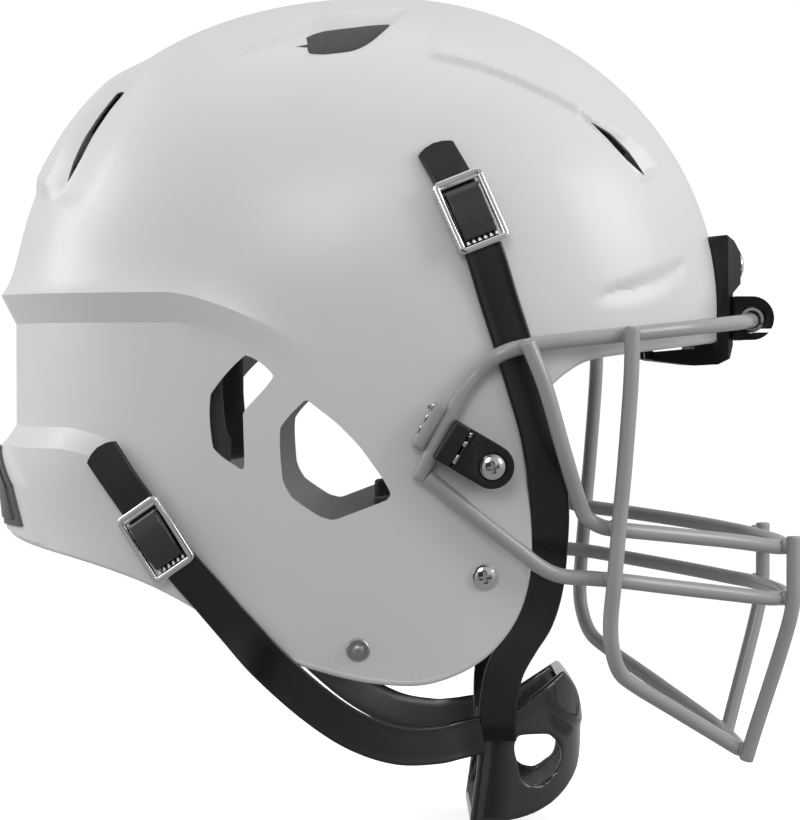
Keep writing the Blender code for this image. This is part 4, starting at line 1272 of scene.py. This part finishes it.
def castRing(name, wide, tall, rim, low, high, corner):
    # a cast frame with rounded bars: an outer and an inner outline joined by a soft section
    middle, half = (low + high) / 2, (high - low) / 2
    rings = []
    for k in range(14):
        a = math.tau * k / 14
        reach = math.copysign(abs(math.cos(a)) ** 0.6, math.cos(a)) * rim / 2
        rise = math.copysign(abs(math.sin(a)) ** 0.6, math.sin(a)) * half
        shrink = rim / 2 - reach
        path = roundedPath(wide - shrink, tall - shrink, max(0.5, corner - shrink))
        rings.append([(x, y, middle + rise) for x, y in path])
    points = [p for ring in rings for p in ring]
    return meshFrom(name, points, skinFaces(14, len(rings[0]), True), 60)


buckle = {"upper": (52.9, 97.5, 22), "lower": (-69.5, -31, 35), "halfWide": 10.75, "halfTall": 15.5, "rim": 2.7,
          "deep": 2.4, "corner": 3.0, "leverWide": 6.95, "leverTall": 10.5}


def buildBuckle(level, word, side):
    x, z, tilt = buckle[level]
    place = sideFrame(x, z, side, math.radians(tilt))
    low = rideOn + strap["thick"] / 2 + 0.6
    ring = castRing(f"buckle_{level}_{word}", buckle["halfWide"], buckle["halfTall"], buckle["rim"], low,
                    low + buckle["deep"], buckle["corner"])
    teeth = []
    for i in range(6):
        x0 = -6.2 + i * 2.48
        tooth = meshFrom("tooth", [(x0 - 0.7, -12.4, low + 0.3), (x0 + 0.7, -12.4, low + 0.3), (x0, -9.6, low + 0.5),
                                   (x0 - 0.7, -12.4, low + 1.8), (x0 + 0.7, -12.4, low + 1.8)],
                         [[0, 1, 2], [3, 4, 2], [0, 3, 2], [1, 4, 2], [0, 1, 4, 3]], 20)
        teeth.append(tooth)
    bar = tube("bar", [Vector((-7.8, 12.4, low + 1.2)), Vector((7.8, 12.4, low + 1.2))], 0.9, 12)
    whole = joinInto(ring.name, [ring, bar] + teeth)
    placeBy(whole, place)
    wearing(whole, "chrome", stands=[f"{level}_{word}_buckle"])
    wide, tall = buckle["leverWide"], buckle["leverTall"]
    fold = [(tall, 0.6), (tall - 0.4, 1.9), (tall - 3, 2.9), (tall * 0.3, 3.5), (-tall * 0.4, 3.3), (-tall * 0.62, 2.9),
            (-tall * 0.66, 2.5), (-tall * 0.92, 2.2), (-tall, 1.5), (-tall, 0.6)]
    fold = flatCurve([(a, low + b) for a, b in fold], 0.8)
    lever = prismMesh(f"lever_{level}_{word}", fold, -wide, wide, "x")
    roundEdges(lever, 0.45, 3, 50)
    pin = tube("pin", [Vector((x, tall - 1.0, low + 1.4)) for x in (-wide - 0.5, wide + 0.5)], 0.7, 12)
    whole = joinInto(lever.name, [lever, pin])
    placeBy(whole, place)
    wearing(whole, "cup", f"{level}_{word}_lever", [f"{level}_{word}_lever"])
    snap = snapStud(f"snap_{level}_{word}")
    placeBy(snap, place)
    wearing(snap, "zinc", stands=[f"{level}_{word}_snap"])


for level in ("upper", "lower"):
    for word, side in sides.items():
        buildBuckle(level, word, side)
print("buckles ready")


# chin cup

cup = {"half": 38.5, "length": 48, "wall": 3.4, "panelOut": 0.9, "bandOut": 1.0, "voxel": 0.9, "softness": 9}
cupFront = [(94.7, -91.5), (100.2, -99), (103, -109), (103.7, -120.7), (101.5, -134), (93.4, -144.3),
            (82.7, -150.4), (69, -153.5), (55.2, -153.5)]
cupRear = [(58.2, -132), (60, -113), (73.5, -107), (86, -98)]
cupVent = [(74.2, -123.5), (76, -117.6), (89.5, -118), (94.4, -124.5), (93, -132), (85, -138.6), (78, -136.6)]


def movedIn(points, distance):
    moved = []
    for i, spot in enumerate(points):
        ahead = Vector(points[min(i + 1, len(points) - 1)]) - Vector(points[max(i - 1, 0)])
        ahead.normalize()
        moved.append((spot[0] + ahead.y * distance, spot[1] - ahead.x * distance))
    return moved


def cupPlan(name, inset):
    half, length = cup["half"] - inset, cup["length"] - inset
    nose = []
    for i in range(1, 60):
        a = math.radians(-90 + 3 * i)
        nose.append((56 + length * math.cos(a) ** 0.9, half * math.copysign(abs(math.sin(a)) ** 0.9, math.sin(a))))
    return prismMesh(name, [(20, -half), (56, -half), *nose, (56, half), (20, half)], -175, -60, "z")


def cupSolid(name, inset):
    item = prismMesh(name, movedIn(flatCurve(cupFront, 1.5), inset) + cupRear, -60, 60)
    cutWith(item, cupPlan("plan", inset), "INTERSECT")
    return item


def cupHollow(inset):
    front = movedIn(flatCurve(cupFront, 1.5), inset)
    item = prismMesh("hollow", [(front[0][0], -60), *front, (30, front[-1][1]), (30, -60)], -60, 60)
    cutWith(item, cupPlan("plan", inset), "INTERSECT")
    return item


def buildCup():
    whole = cupSolid("chin_cup_shell", 0)
    panel = cupSolid("panel", -cup["panelOut"])
    outline = [(-31, -80), (-31.5, -98), (-29.5, -105.5), (-24, -110.5), (-14, -113.6), (0, -114.4)]
    outline += [(-y, z) for y, z in outline[-2::-1]]
    cutWith(panel, prismMesh("window", flatCurve(outline, 2), 76, 120, "x"), "INTERSECT", 0.02)
    cutWith(whole, panel, "UNION")
    band = cupSolid("band", -cup["bandOut"])
    edge = [(55.4, -153.2)] + cupRear + cupFront[:1]
    strip = [(x - 3, z + 2) for x, z in edge] + [(x + 2.8, z - 2.4) for x, z in reversed(edge)]
    cutWith(band, prismMesh("strip", strip, -60, 60), "INTERSECT", 0.02)
    cutWith(whole, band, "UNION")
    cutWith(whole, cupHollow(cup["wall"]))
    cutWith(whole, prismMesh("vent", softLoop(cupVent, 1.4), -60, 60))
    remeshed(whole, cup["voxel"], cup["softness"])
    smoothBy(whole, 80)
    wearing(whole, "cup", "chin_cup_unit", ["chin_cup"])


buildCup()
print("chin cup ready")


# padding: each CAD pad is inflated as cloth

def puff(item, voxel, most, pressure=4.0):
    # a short cloth run with inner pressure, with each point's travel capped
    remeshed(item, voxel, 4)
    before = [v.co.copy() for v in item.data.vertices]
    scene = bpy.context.scene
    cloth = item.modifiers.new("cloth", "CLOTH")
    cloth.settings.use_pressure = True
    cloth.settings.uniform_pressure_force = pressure
    cloth.settings.quality = 5
    cloth.settings.effector_weights.gravity = 0
    cloth.point_cache.frame_start = 1
    cloth.point_cache.frame_end = 20
    for frameNumber in range(1, 21):
        scene.frame_set(frameNumber)
    after = item.evaluated_get(bpy.context.evaluated_depsgraph_get()).data
    settled = [v.co.copy() for v in after.vertices]
    item.modifiers.clear()
    scene.frame_set(1)
    for v, start, end in zip(item.data.vertices, before, settled):
        move = end - start
        if move.length > most * mm:
            move = move.normalized() * most * mm
        v.co = start + move
    addStep(item, "SUBSURF", levels=1, render_levels=1)
    applyAll(item)
    smoothBy(item, 80)


def padFrom(node, voxel, shrink, most, body="root"):
    source = bpy.data.objects[node]
    item = copyOf(source, "soft_" + node)
    item.hide_render = False
    item.hide_viewport = False
    cleanMesh(item, 0.00002)
    form = bmesh.new()
    form.from_mesh(item.data)
    form.normal_update()
    for v, out in [(v, v.normal.copy()) for v in form.verts]:
        v.co -= out * shrink * mm
    form.to_mesh(item.data)
    form.free()
    puff(item, voxel, most)
    wearing(item, "liner", body, [node])


pads = {"crown_pad": 5.5, "front_pad": 4.5, "rear_pad": 4.5, "side_pad_left": 4.5, "side_pad_right": 4.5,
        "rear_side_pad_left": 4.5, "rear_side_pad_right": 4.5, "jaw_pad_left": 3, "jaw_pad_right": 3}
for node, voxel in pads.items():
    padFrom(node, voxel, 1.6, 2.2)
padFrom("chin_cup_pad", 1.6, 0.3, 0.5, "chin_cup_unit")
print("padding ready")


# CAD nodes that stay as they are

for item in bpy.data.objects:
    if item.type == "MESH" and item.name.endswith("_nut"):
        item.data.materials.clear()
        item.data.materials.append(paint["zinc"])
